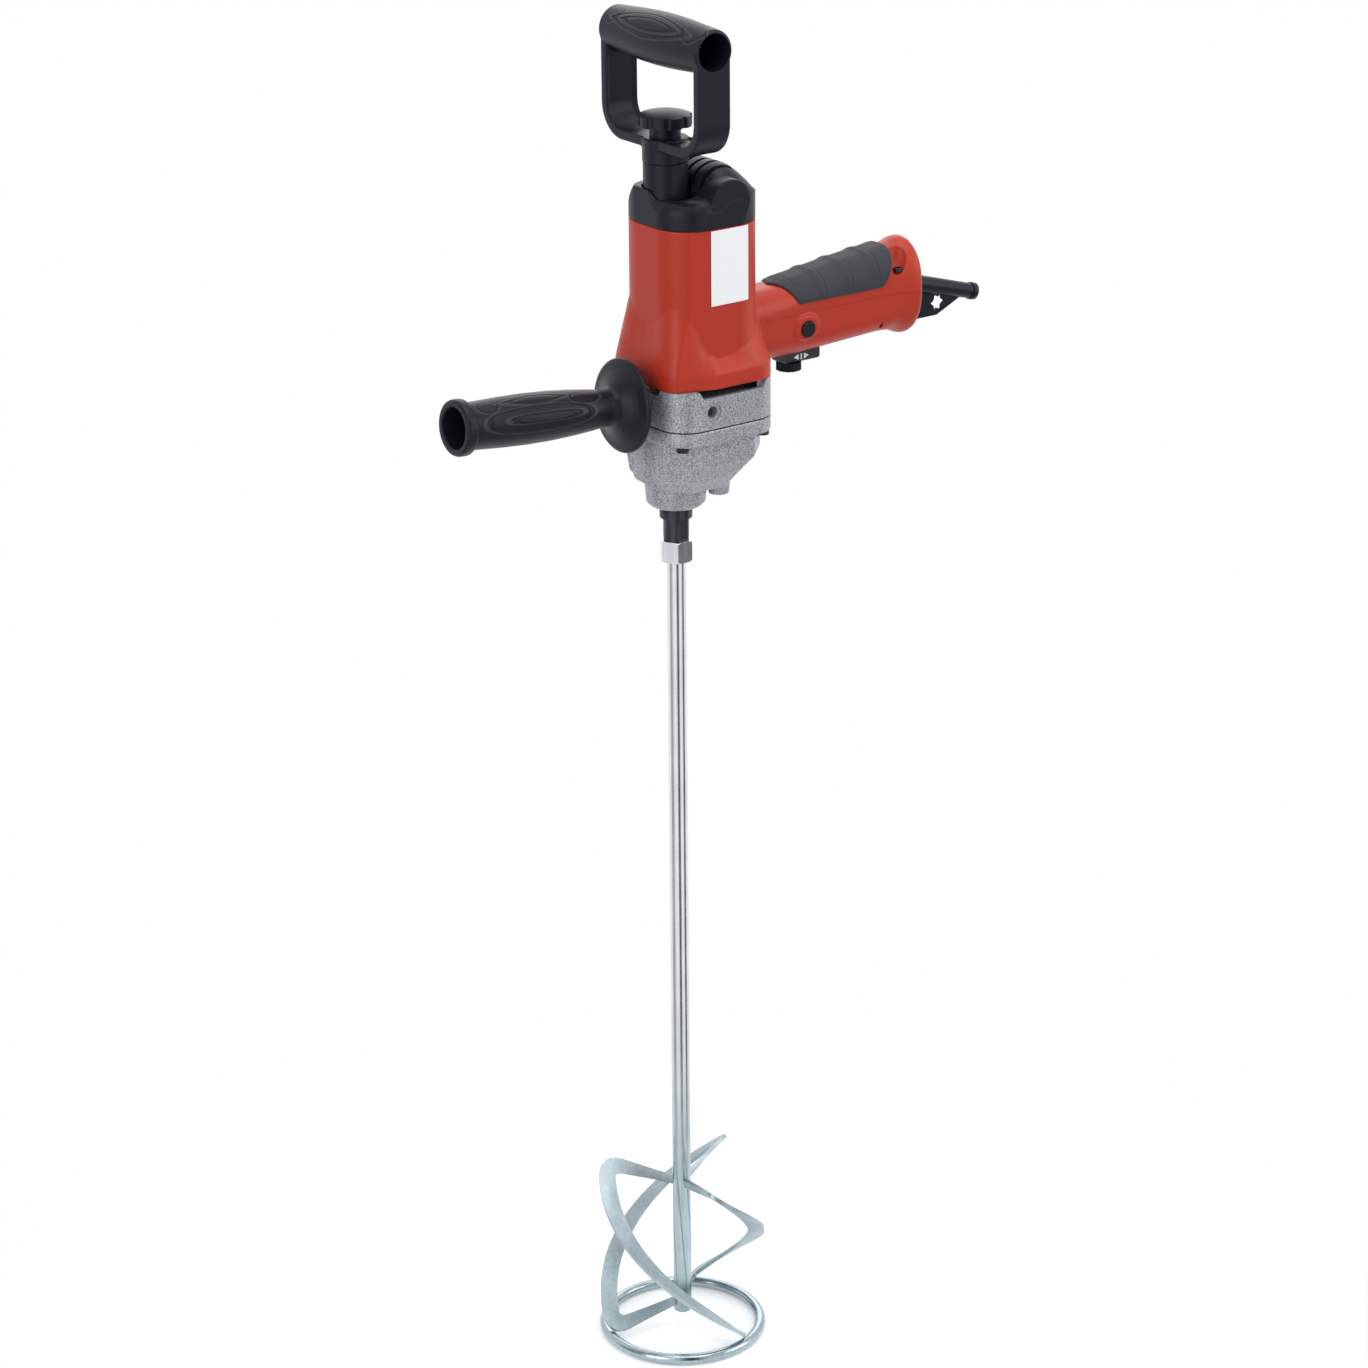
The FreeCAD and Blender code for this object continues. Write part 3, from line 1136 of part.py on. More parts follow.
# Trigger group
def trigger():
    body = block(TRIGGER_X0, TRIGGER_X1, -TRIGGER_HALF_W, TRIGGER_HALF_W, TRIGGER_LOW_Z, TRIGGER_TOP_Z)
    body = body.makeFillet(TRIGGER_ROUND, [e for e in body.Edges if e.BoundBox.ZMax < TRIGGER_LOW_Z + OVER])
    middle = (TRIGGER_X0 + TRIGGER_X1) / 2
    stem = block(middle - STEM_HALF, middle + STEM_HALF, -STEM_HALF, STEM_HALF,
                 TRIGGER_TOP_Z - OVER, STEM_TOP_Z)
    pin_room = cylinder(DIAL_PIN_R + RUN, TRIGGER_LOW_Z - OVER, TRIGGER_LOW_Z + DIAL_PIN_LEN + GAP, DIAL_X)
    return fuse([body, stem]).cut(pin_room)


def speed_dial():
    """Ribbed wheel under the trigger, turning on a short pin."""
    top = TRIGGER_LOW_Z - RUN
    wheel = cylinder(DIAL_R - DIAL_RIB_R / 2, DIAL_LOW_Z, top, DIAL_X)
    rib = cylinder(DIAL_RIB_R, DIAL_LOW_Z, top, DIAL_X + DIAL_R - DIAL_RIB_R / 2)
    pin = cylinder(DIAL_PIN_R, top - OVER, TRIGGER_LOW_Z + DIAL_PIN_LEN, DIAL_X)
    return fuse([wheel, pin] + around(rib, DIAL_RIBS, DIAL_X))


def lock_button():
    """Round button that slides in its raised collar."""
    length = BUTTON_FACE - SWITCH_HALF_W - BUTTON_TRAVEL - GAP
    button = Part.makeCylinder(BUTTON_R, length, V(BUTTON_X, -BUTTON_FACE, BUTTON_Z), Y_AXIS)
    front = [e for e in button.Edges if e.BoundBox.YMax < OVER - BUTTON_FACE]
    return button.makeFillet(BUTTON_PROUD / 2, front)


def switch_body():
    """Switch block in the handle, with a lug to each side wall."""
    x1 = TRIGGER_X1 + SWITCH_TAIL
    top = SEAM_Z + SWITCH_ABOVE_SEAM
    body = block(TRIGGER_X0 - SWITCH_LEAD, x1, -SWITCH_HALF_W, SWITCH_HALF_W, SWITCH_LOW_Z, top)
    reach = GRIP_HALF_W - HANDLE_WALL - FIT
    lug = block(x1 - LUG_L, x1, -reach, reach, SEAM_Z - LUG_H / 2, SEAM_Z + LUG_H / 2)
    return fuse([body, lug])


# Strain relief and cord clamp
def relief_path():
    start = V(FLANGE_X1, 0, RELIEF_ROOT_Z)
    bend = V(RELIEF_BEND_X, 0, RELIEF_ROOT_Z)
    tip = V(RELIEF_TIP_X, 0, RELIEF_TIP_Z)
    return start, bend, tip


def relief_tube():
    """Tapered tube from the handle's end, drooping to its rimmed tip."""
    start, bend, tip = relief_path()
    along = (tip - bend).normalize()
    inside = FLANGE_X1 - HANDLE_WALL - RELIEF_PLUG_LEN
    plug = Part.makeCylinder(RELIEF_PLUG_R, RELIEF_PLUG_LEN - GAP, V(inside, 0, RELIEF_ROOT_Z), X_AXIS)
    neck = Part.makeCylinder(RELIEF_ROOT_R, RELIEF_BEND_X - inside, V(inside, 0, RELIEF_ROOT_Z), X_AXIS)
    knee = Part.makeSphere(RELIEF_ROOT_R, bend)
    taper = Part.makeCone(RELIEF_ROOT_R, RELIEF_TIP_R, (tip - bend).Length, bend, along)
    lip = Part.makeCylinder(RELIEF_LIP_R, RELIEF_LIP_LEN, tip - along * RELIEF_LIP_LEN, along)
    bore = Part.makeCylinder(RELIEF_BORE_R, RELIEF_BORE_LEN + OVER, tip - along * RELIEF_BORE_LEN, along)
    return fuse([plug, neck, knee, taper, lip]).cut(bore)


def star_outline():
    """Six-lobed key hole of the wing."""
    points = []
    for i, angle in enumerate(angles(2 * STAR_LOBES)):
        radius = STAR_R if i % 2 == 0 else STAR_INNER_R
        points.append(V(STAR_X + radius * math.cos(angle), -WING_T, STAR_Z + radius * math.sin(angle)))
    return Part.Face(Part.makePolygon(points + [points[0]])).extrude(V(0, 2 * WING_T, 0))


def strain_relief():
    start, bend, tip = relief_path()
    low = V(FLANGE_X1, 0, WING_LOW_Z)
    flat = V(FLANGE_X1 + WING_FLAT, 0, WING_LOW_Z)
    end = V(RELIEF_TIP_X - WING_SHORT, 0, RELIEF_TIP_Z)
    outline = Part.makePolygon([start, low, flat, end, bend, start])
    wing = Part.Face(outline).extrude(V(0, WING_T, 0))
    wing.translate(V(0, -WING_T / 2, 0))
    return fuse([relief_tube(), wing]).cut(star_outline())


def cord_clamp():
    """Saddle that holds the lead inside the handle."""
    low = SEAM_Z - CLAMP_H
    middle = CLAMP_X + CLAMP_L / 2
    bar = block(CLAMP_X, CLAMP_X + CLAMP_L, -CLAMP_HALF_W, CLAMP_HALF_W, low, low + CLAMP_H)
    groove = Part.makeCylinder(RELIEF_BORE_R, CLAMP_L + 2 * OVER, V(CLAMP_X - OVER, 0, low), X_AXIS)
    bar = bar.cut(groove)
    for y in (-CLAMP_SCREW_Y, CLAMP_SCREW_Y):
        bar = bar.cut(cylinder(CLAMP_SCREW_R + FIT, low - OVER, low + CLAMP_H + OVER, middle, y))
    return bar


def cord_clamp_screws():
    screws = []
    for y in (-CLAMP_SCREW_Y, CLAMP_SCREW_Y):
        top = SEAM_Z + CLAMP_SCREW_HEAD_H
        x = CLAMP_X + CLAMP_L / 2
        screws.append(fuse([cylinder(CLAMP_SCREW_HEAD_R, SEAM_Z, top, x, y),
                            cylinder(CLAMP_SCREW_R, SEAM_Z - CLAMP_SCREW_LEN, SEAM_Z + OVER, x, y)]))
    return Part.makeCompound(screws)


# Motor
def stator_core():
    core = tube(STATOR_R, STATOR_BORE_R, STATOR_LOW_Z, STATOR_TOP_Z, MOTOR_X)
    for coil in coil_blocks(FIT):
        core = core.cut(coil)
    return core


def coil_blocks(spare):
    """Two flat coils on the +Y and -Y sides of the stator's bore."""
    inner = COIL_INNER - spare
    outer = COIL_INNER + COIL_T + spare
    half = COIL_HALF_W + spare
    low = STATOR_LOW_Z - COIL_OVERHANG
    top = STATOR_TOP_Z + COIL_OVERHANG
    coil = block(MOTOR_X - half, MOTOR_X + half, inner, outer, low - spare, top + spare)
    return [coil, mirrored(coil)]


def field_coils():
    coils = []
    for coil in coil_blocks(0):
        coils.append(coil.makeFillet(COIL_T / 3, [e for e in coil.Edges if abs(e.BoundBox.YLength) > OVER]))
    return Part.makeCompound(coils)


def armature_core():
    core = tube(ARMATURE_R, SHAFT_CORE_R + FIT, CORE_LOW_Z, CORE_TOP_Z, MOTOR_X)
    slot = block(MOTOR_X + ARMATURE_R - SLOT_DEPTH, MOTOR_X + ARMATURE_R + OVER, -SLOT_W / 2, SLOT_W / 2,
                 CORE_LOW_Z - OVER, CORE_TOP_Z + OVER)
    for copy in around(slot, ARMATURE_SLOTS, MOTOR_X):
        core = core.cut(copy)
    return core


def armature_windings():
    low = tube(WINDING_R, SHAFT_CORE_R + FIT, CORE_LOW_Z - WINDING_OVERHANG, CORE_LOW_Z, MOTOR_X)
    top = tube(WINDING_R, SHAFT_CORE_R + FIT, CORE_TOP_Z, CORE_TOP_Z + WINDING_OVERHANG, MOTOR_X)
    return Part.makeCompound([low, top])


def commutator():
    body = tube(COMMUTATOR_R, SHAFT_CORE_R + FIT, COMMUTATOR_LOW_Z, COMMUTATOR_TOP_Z, MOTOR_X)
    slot = block(MOTOR_X + COMMUTATOR_R - BAR_SLOT_DEPTH, MOTOR_X + COMMUTATOR_R + OVER, -BAR_SLOT_W / 2,
                 BAR_SLOT_W / 2, COMMUTATOR_LOW_Z - OVER, COMMUTATOR_TOP_Z + OVER)
    for copy in around(slot, COMMUTATOR_BARS, MOTOR_X):
        body = body.cut(copy)
    return body


def armature_shaft():
    """Stepped shaft with the first pinion cut on its lower end: a tooth faces the layshaft."""
    low = GEAR_1_BASE_Z - PINION_SPARE
    high = GEAR_1_TOP_Z + PINION_SPARE
    pinion = gear_body(MODULE_1, PINION_1_TEETH, SHIFT_1_SHARE, low, high - low,
                       MOTOR_X, 0, TO_LAY_FROM_MOTOR)
    root = MODULE_1 * (PINION_1_TEETH / 2 + SHIFT_1_SHARE)
    return fuse([
        pinion,
        cylinder(root, high, LOW_BEARING_Z, MOTOR_X),
        cylinder(SHAFT_LOW_R, LOW_BEARING_Z - OVER, LOW_BEARING_TOP_Z + OVER, MOTOR_X),
        cylinder(SHAFT_CORE_R, LOW_BEARING_TOP_Z + GAP, COMMUTATOR_TOP_Z, MOTOR_X),
        cylinder(SHAFT_TOP_R, COMMUTATOR_TOP_Z - OVER, TOP_BEARING_TOP_Z, MOTOR_X)])


def fan():
    """Moulded fan with straight blades under its disc."""
    disc_low = FAN_LOW_Z + FAN_H - FAN_DISC_T
    disc = tube(FAN_R, SHAFT_CORE_R + FIT, disc_low, FAN_LOW_Z + FAN_H, MOTOR_X)
    hub = tube(FAN_HUB_R, SHAFT_CORE_R + FIT, FAN_LOW_Z, disc_low + OVER, MOTOR_X)
    blade = block(MOTOR_X + FAN_HUB_R - OVER, MOTOR_X + FAN_R, -FAN_BLADE_T / 2, FAN_BLADE_T / 2, FAN_LOW_Z,
                  disc_low + FAN_DISC_T / 2)
    return fuse([disc, hub] + around(blade, FAN_BLADES, MOTOR_X))


def motor_low_bearing():
    return tube(LOW_BEARING_R, SHAFT_LOW_R + RUN, LOW_BEARING_Z, LOW_BEARING_TOP_Z, MOTOR_X)


def motor_top_bearing():
    return tube(TOP_BEARING_R, SHAFT_TOP_R + RUN, TOP_BEARING_Z, TOP_BEARING_TOP_Z, MOTOR_X)


def fan_baffle():
    plate = square_prism(COLUMN_HALF - HOUSING_WALL - FIT, COLUMN_CORNER, BAFFLE_Z, BAFFLE_Z + BAFFLE_T)
    return plate.cut(cylinder(BAFFLE_HOLE_R, BAFFLE_Z - OVER, BAFFLE_Z + BAFFLE_T + OVER, MOTOR_X))


def brush_block(width, height, x0, x1):
    return block(x0, x1, -width / 2, width / 2, BRUSH_Z - height / 2, BRUSH_Z + height / 2)


def on_both_sides(shape):
    """A shape on the motor's -X side and its copy half a turn round the motor."""
    return Part.makeCompound([shape, spun(shape, 180, MOTOR_X)])


def carbon_brushes():
    near = MOTOR_X - COMMUTATOR_R - GAP
    return on_both_sides(brush_block(BRUSH_W, BRUSH_H, near - BRUSH_LEN, near))


def brush_holders():
    near = MOTOR_X - COMMUTATOR_R - HOLDER_STAND
    far = MOTOR_X - COLUMN_HALF + HOUSING_WALL + FIT
    outer = brush_block(BRUSH_W + 2 * HOLDER_WALL, BRUSH_H + 2 * HOLDER_WALL, far, near)
    return on_both_sides(outer.cut(brush_block(BRUSH_W + 2 * FIT, BRUSH_H + 2 * FIT, far + HOLDER_WALL,
                                               near + OVER)))


# End cap
def hump():
    """Vented hump behind the post: an arched profile across the cap."""
    low = HOUSING_TOP_Z
    crest = V(HUMP_CREST_X, 0, HUMP_TOP_Z)
    shoulder = V(HUMP_X1, 0, HUMP_SHOULDER_Z)
    bow = (HUMP_X1 - HUMP_CREST_X) * HUMP_BEND_SHARE
    fall = (HUMP_TOP_Z - HUMP_SHOULDER_Z) * HUMP_BEND_SHARE
    bend = V(HUMP_CREST_X + bow, 0, HUMP_SHOULDER_Z + fall)
    front = V(HUMP_X0, 0, HUMP_TOP_Z - HUMP_FRONT_DROP)
    edges = [
        Part.makeLine(V(HUMP_X0, 0, low), front), Part.makeLine(front, crest),
        Part.Arc(crest, bend, shoulder).toShape(), Part.makeLine(shoulder, V(HUMP_X1, 0, low)),
        Part.makeLine(V(HUMP_X1, 0, low), V(HUMP_X0, 0, low))]
    body = Part.Face(Part.Wire(edges)).extrude(V(0, 2 * HUMP_HALF_W, 0))
    body.translate(V(0, -HUMP_HALF_W, 0))
    return body.common(square_prism(COLUMN_HALF, COLUMN_CORNER, low, HUMP_TOP_Z + OVER))


def post_cup():
    """Raised wall of the cap that half surrounds the post's foot."""
    cone = Part.makeCone(CUP_FOOT_R, CUP_TOP_R, CUP_H, V(POST_X, 0, CAP_SHOULDER_Z - CUP_SUNK))
    top = CAP_SHOULDER_Z + CUP_H
    cone = cone.common(square_prism(COLUMN_HALF, COLUMN_CORNER, HOUSING_TOP_Z, top))
    return cone.cut(block(POST_X - CUP_BACK, MOTOR_X, -COLUMN_HALF, COLUMN_HALF, HOUSING_TOP_Z, top))


def cap_screw_holes(high):
    return [cylinder(CAP_SCREW_R + FIT, HOUSING_TOP_Z - TOP_WALL - OVER, high, x, y)
            for x, y in corner_places(CAP_SCREW_SPREAD)]


def cap_screws():
    """Screws from inside the housing's top wall up into the cap's bosses."""
    length = TOP_WALL + CAP_SCREW_BITE
    screw = cap_head_screw(CAP_SCREW_R, CAP_SCREW_HEAD_R, CAP_SCREW_HEAD_H, length)
    screws = []
    for x, y in corner_places(CAP_SCREW_SPREAD):
        copy = screw.copy()
        copy.translate(V(x, y, HOUSING_TOP_Z - TOP_WALL))
        screws.append(copy)
    return Part.makeCompound(screws)


def end_cap():
    """Black cap: low shoulder round the post, vented hump behind it, hollow inside."""
    low = square_prism(COLUMN_HALF, COLUMN_CORNER, HOUSING_TOP_Z, CAP_SHOULDER_Z)
    low = low.makeFillet(CAP_ROUND, [e for e in low.Edges if e.BoundBox.ZMin > CAP_SHOULDER_Z - OVER])
    cap = fuse([low, hump(), post_cup()])
    room_top = CAP_SHOULDER_Z - CAP_WALL - CAP_ROUND
    inner = square_prism(COLUMN_HALF - CAP_WALL, COLUMN_CORNER, CAP_FLOOR_Z, room_top)
    inner = inner.cut(cylinder(POST_R + POST_POCKET_GAP + CAP_WALL, HOUSING_TOP_Z, CAP_SHOULDER_Z, POST_X))
    hump_room = hump().common(block(HUMP_X0 + CAP_WALL, HUMP_X1 - CAP_WALL, -HUMP_HALF_W + CAP_WALL,
                                    HUMP_HALF_W - CAP_WALL, CAP_FLOOR_Z, HUMP_TOP_Z))
    hump_room = hump_room.common(square_prism(COLUMN_HALF - CAP_WALL, COLUMN_CORNER, CAP_FLOOR_Z, HUMP_TOP_Z))
    sunk = hump_room.copy()
    sunk.translate(V(0, 0, -CAP_WALL))
    room = fuse([inner, hump_room.common(sunk)])
    for x, y in corner_places(CAP_SCREW_SPREAD):
        room = room.cut(cylinder(CAP_SCREW_R + CAP_BOSS_WALL, HOUSING_TOP_Z, room_top + OVER, x, y))
    cap = cap.cut(room)
    cap = cap.cut(cylinder(POST_R + POST_POCKET_GAP, POST_FOOT_Z, POST_TOP_Z, POST_X))
    cap = cap.cut(cylinder(POST_R + FIT, POST_FOOT_Z - POST_SPIGOT, POST_FOOT_Z + OVER, POST_X))
    first_y = -VENT_PITCH * (VENT_COUNT - 1) / 2
    vent_x = HUMP_X0 + CAP_WALL
    for i in range(VENT_COUNT):
        y = first_y + i * VENT_PITCH
        cap = cap.cut(block(vent_x, vent_x + VENT_LEN, y - VENT_W / 2, y + VENT_W / 2, HUMP_SHOULDER_Z,
                            HUMP_TOP_Z + OVER))
    for x, y in corner_places(AIR_HOLE_SPREAD):
        if x > MOTOR_X:
            cap = cap.cut(cylinder(AIR_HOLE_R, HOUSING_TOP_Z - OVER, CAP_FLOOR_Z + OVER, x, y))
    for hole in cap_screw_holes(HOUSING_TOP_Z + CAP_SCREW_BITE + GAP):
        cap = cap.cut(hole)
    return cap


def handle_post():
    """Post under the spade handle, with the stud nut held in its foot."""
    foot = POST_FOOT_Z - POST_SPIGOT
    post = cylinder(POST_R, foot, POST_TOP_Z, POST_X)
    post = post.cut(cylinder(STUD_BOLT_R + GAP, foot - OVER, POST_TOP_Z + OVER, POST_X))
    return post.cut(stud_hexagon(FIT))


def stud_hexagon(spare):
    shape = hexagon(2 * (NUT_POCKET_R + spare), STUD_FOOT_Z, STUD_FOOT_Z + STUD_NUT_H)
    shape.translate(V(POST_X, 0, 0))
    return shape


def stud_nut():
    bore = cylinder(STUD_BOLT_R + RUN, STUD_FOOT_Z - OVER, STUD_FOOT_Z + STUD_NUT_H + OVER, POST_X)
    return stud_hexagon(0).cut(bore)


# Spade handle
def band_outline(inset):
    """U outline of the handle's band, from one grip end round the bottom to the other."""
    half = SPADE_HALF_L - inset
    low = BAND_LOW_Z + inset
    corner = BAND_CORNER - inset
    mid = corner * (1 - DIAGONAL_SHARE)
    right = [V(0, half, SPADE_GRIP_Z), V(0, half, low + corner), V(0, half - mid, low + mid),
             V(0, half - corner, low)]
    left = [V(0, -p.y, p.z) for p in right]
    edges = [
        Part.makeLine(right[0], right[1]), Part.Arc(right[1], right[2], right[3]).toShape(),
        Part.makeLine(right[3], left[3]), Part.Arc(left[3], left[2], left[1]).toShape(),
        Part.makeLine(left[1], left[0]), Part.makeLine(left[0], right[0])]
    return Part.Face(Part.Wire(edges))


def band(outset, inset, x0, x1):
    strip = band_outline(outset).cut(band_outline(inset)).extrude(V(x1 - x0, 0, 0))
    strip.translate(V(x0, 0, 0))
    return strip


def grip_barrel():
    """Barrel grip along Y, thickest in the middle."""
    step = SPADE_HALF_L / 2
    swell = (SPADE_GRIP_R + SPADE_END_R) / 2
    ends = [(-2 * step, SPADE_END_R), (-step, swell), (0, SPADE_GRIP_R), (step, swell),
            (2 * step, SPADE_END_R)]
    curve = Part.BSplineCurve()
    curve.interpolate([V(POST_X, y, SPADE_GRIP_Z + r) for y, r in ends])
    low = V(POST_X, -2 * step, SPADE_GRIP_Z)
    high = V(POST_X, 2 * step, SPADE_GRIP_Z)
    edges = [curve.toShape(), Part.makeLine(high + V(0, 0, SPADE_END_R), high), Part.makeLine(high, low),
             Part.makeLine(low, low + V(0, 0, SPADE_END_R))]
    return Part.Face(Part.Wire(edges)).revolve(low, Y_AXIS, 360)


def d_handle():
    x0 = POST_X - BAND_W / 2
    x1 = POST_X + BAND_W / 2
    lip_top = BAND_T + BAND_LIP_H
    lips = [band(0, lip_top, x0, x0 + BAND_LIP_W), band(0, lip_top, x1 - BAND_LIP_W, x1)]
    body = fuse([band(0, BAND_T, x0, x1)] + lips)
    collar = cylinder(POST_R + COLLAR_BOSS_WALL, POST_TOP_Z + RUN, BAND_TOP_Z, POST_X)
    body = fuse([body, grip_barrel(), collar])
    for side in (-1, 1):
        bore = Part.makeCylinder(SPADE_BORE_R, SPADE_BORE_LEN + OVER,
                                 V(POST_X, side * (SPADE_HALF_L + OVER), SPADE_GRIP_Z), V(0, -side, 0))
        body = body.cut(bore)
    return body.cut(cylinder(STUD_BOLT_R + GAP, POST_TOP_Z - OVER, BAND_TOP_Z + OVER, POST_X))


def star_knob():
    """Lobed knob with a domed top and a neck that clamps the handle's band."""
    top = KNOB_LOW_Z + KNOB_H
    neck_low = BAND_TOP_Z + RUN
    body = cylinder(KNOB_R, KNOB_LOW_Z, top, POST_X)
    reach = (KNOB_R ** 2 + KNOB_DOME_H ** 2) / (2 * KNOB_DOME_H)
    ball = Part.makeSphere(reach, V(POST_X, 0, top + KNOB_DOME_H - reach))
    dome = ball.common(cylinder(KNOB_R, top, top + KNOB_DOME_H, POST_X))
    neck = cylinder(KNOB_NECK_R, neck_low, KNOB_LOW_Z + OVER, POST_X)
    body = fuse([body, dome])
    notch = cylinder(KNOB_NOTCH_R, KNOB_LOW_Z - OVER, top + KNOB_DOME_H, POST_X + KNOB_R + KNOB_NOTCH_R / 2)
    for copy in around(notch, KNOB_LOBES, POST_X):
        body = body.cut(copy)
    body = fuse([body, neck])
    return body.cut(cylinder(STUD_BOLT_R + FIT, neck_low - OVER, STUD_TOP_Z, POST_X))


def knob_stud():
    return cylinder(STUD_BOLT_R, STUD_FOOT_Z, STUD_TOP_Z - GAP, POST_X)


# Side handle
def side_placed(shape):
    """Puts a shape made along +Z onto the side handle's rising axis."""
    shape.rotate(V(0, 0, 0), Y_AXIS, SIDE_TILT_DEG - 90)
    shape.translate(V(MOTOR_X - BASE_HALF, 0, SIDE_SOCKET_Z))
    return shape


def side_handle():
    """Moulded grip: boss, dished guard flange, barrel grip, end ring, hollow end."""
    flange = SIDE_FLANGE_START
    edge = SIDE_FLANGE_T * FLANGE_EDGE_SHARE
    neck = flange + SIDE_FLANGE_T
    grip = neck + SIDE_NECK_LEN
    end = grip + SIDE_GRIP_LEN
    ring = end + SIDE_RING_LEN
    corner = SIDE_RING_CORNER
    floor = ring - SIDE_BORE_LEN
    outline = [
        (0, SIDE_STAND), (SIDE_BOSS_R, SIDE_STAND), (SIDE_BOSS_R, flange),
        (SIDE_FLANGE_R - SIDE_DISH, flange),
        (SIDE_FLANGE_R, flange + edge), (SIDE_FLANGE_R, neck - edge), (SIDE_FLANGE_R - SIDE_DISH, neck),
        ((SIDE_FLANGE_R + SIDE_NECK_R) / 2, neck), (SIDE_NECK_R, grip),
        (SIDE_GRIP_END_R, grip + SIDE_GRIP_LEN * GRIP_WAIST_SHARE),
        (SIDE_GRIP_R, grip + SIDE_GRIP_LEN * GRIP_SWELL_SHARE), (SIDE_GRIP_END_R, end),
        (SIDE_RING_R - corner, end), (SIDE_RING_R, end + corner), (SIDE_RING_R, ring - corner),
        (SIDE_RING_R - corner, ring), (SIDE_BORE_R, ring), (SIDE_BORE_R, floor), (0, floor)]
    body = turned([V(r, 0, z) for r, z in outline])
    return side_placed(body.cut(cylinder(SIDE_STUD_R + FIT, SIDE_STAND - OVER, neck)))


def side_handle_stud():
    low = GAP - SIDE_STUD_IN
    return side_placed(cylinder(SIDE_STUD_R, low, SIDE_FLANGE_START + SIDE_FLANGE_T - GAP))


PIECES = {
    "gear_case": gear_case, "gear_plate": gear_plate, "gear_gasket": gear_gasket, "case_screws": case_screws,
    "motor_housing": motor_housing, "handle_cover": handle_cover, "grip_pad": grip_pad,
    "handle_screws": handle_screws, "name_plate": name_plate,
    "end_cap": end_cap, "cap_screws": cap_screws, "handle_post": handle_post, "stud_nut": stud_nut,
    "d_handle": d_handle, "star_knob": star_knob, "knob_stud": knob_stud,
    "side_handle": side_handle, "side_handle_stud": side_handle_stud,
    "trigger": trigger, "speed_dial": speed_dial, "lock_button": lock_button, "switch_body": switch_body,
    "strain_relief": strain_relief, "cord_clamp": cord_clamp, "cord_clamp_screws": cord_clamp_screws,
    "spindle": spindle, "output_gear": output_gear, "gear_key": gear_key, "retaining_ring": retaining_ring,
    "spindle_bearing": spindle_bearing, "spindle_seal": spindle_seal, "spindle_bush": spindle_bush,
    "layshaft": layshaft, "layshaft_gear": layshaft_gear, "layshaft_low_bush": layshaft_low_bush,
    "layshaft_top_bush": layshaft_top_bush,
    "armature_shaft": armature_shaft, "armature_core": armature_core, "armature_windings": armature_windings,
    "commutator": commutator, "fan": fan, "motor_low_bearing": motor_low_bearing,
    "motor_top_bearing": motor_top_bearing, "fan_baffle": fan_baffle, "stator_core": stator_core,
    "field_coils": field_coils, "carbon_brushes": carbon_brushes, "brush_holders": brush_holders,
    "paddle_nut": paddle_nut, "paddle_rod": paddle_rod, "paddle_ring": paddle_ring,
}

os.makedirs("parts", exist_ok=True)
for name, make in PIECES.items():
    make().exportStep(f"parts/{name}.step")
for number in range(BLADE_COUNT):
    blade = paddle_blade(BLADE_START_DEG + 360 * number / BLADE_COUNT)
    blade.exportStep(f"parts/paddle_blade_{number + 1}.step")
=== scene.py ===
import bpy
import json
import math
from mathutils import Matrix, Vector


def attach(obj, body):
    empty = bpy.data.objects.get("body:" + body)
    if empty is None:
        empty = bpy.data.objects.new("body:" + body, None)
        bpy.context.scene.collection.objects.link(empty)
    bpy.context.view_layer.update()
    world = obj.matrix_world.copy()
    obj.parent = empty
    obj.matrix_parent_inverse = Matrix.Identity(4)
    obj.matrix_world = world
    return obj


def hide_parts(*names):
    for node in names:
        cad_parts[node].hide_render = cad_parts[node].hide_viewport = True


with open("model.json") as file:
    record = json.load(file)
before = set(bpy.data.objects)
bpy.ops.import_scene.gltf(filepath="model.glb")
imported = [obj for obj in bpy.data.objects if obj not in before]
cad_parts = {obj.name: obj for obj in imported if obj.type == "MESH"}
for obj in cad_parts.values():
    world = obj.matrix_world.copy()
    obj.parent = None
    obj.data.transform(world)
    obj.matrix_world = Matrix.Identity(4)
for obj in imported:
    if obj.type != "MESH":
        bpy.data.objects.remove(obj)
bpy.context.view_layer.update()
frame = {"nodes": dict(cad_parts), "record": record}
bpy.ops.object.select_all(action="DESELECT")

# Paddle hoop: steel wire bent to a ring, its ends butt-welded, then zinc plated.
# It is the foot that the whole mixer stands on.
MM = 0.001


class Value:
    """A shader socket that the arithmetic signs join into math nodes."""

    def __init__(self, paint, socket):
        self.paint = paint
        self.socket = socket

    def math(self, kind, *others):
        return self.paint.work_out(kind, self, *others)

    def __add__(self, other):
        return self.math("ADD", other)

    __radd__ = __add__

    def __mul__(self, other):
        return self.math("MULTIPLY", other)

    __rmul__ = __mul__

    def __sub__(self, other):
        return self.math("SUBTRACT", other)

    def __rsub__(self, other):
        return self.paint.work_out("SUBTRACT", other, self)

    def __truediv__(self, other):
        return self.math("DIVIDE", other)

    def __rtruediv__(self, other):
        return self.paint.work_out("DIVIDE", other, self)

    def __abs__(self):
        return self.math("ABSOLUTE")

    def rise(self, low, high):
        """0 below low and 1 above high, smooth between."""
        ramp = self.paint.node("ShaderNodeMapRange", {"interpolation_type": "SMOOTHSTEP"}, self, low, high)
        return Value(self.paint, ramp.outputs[0])


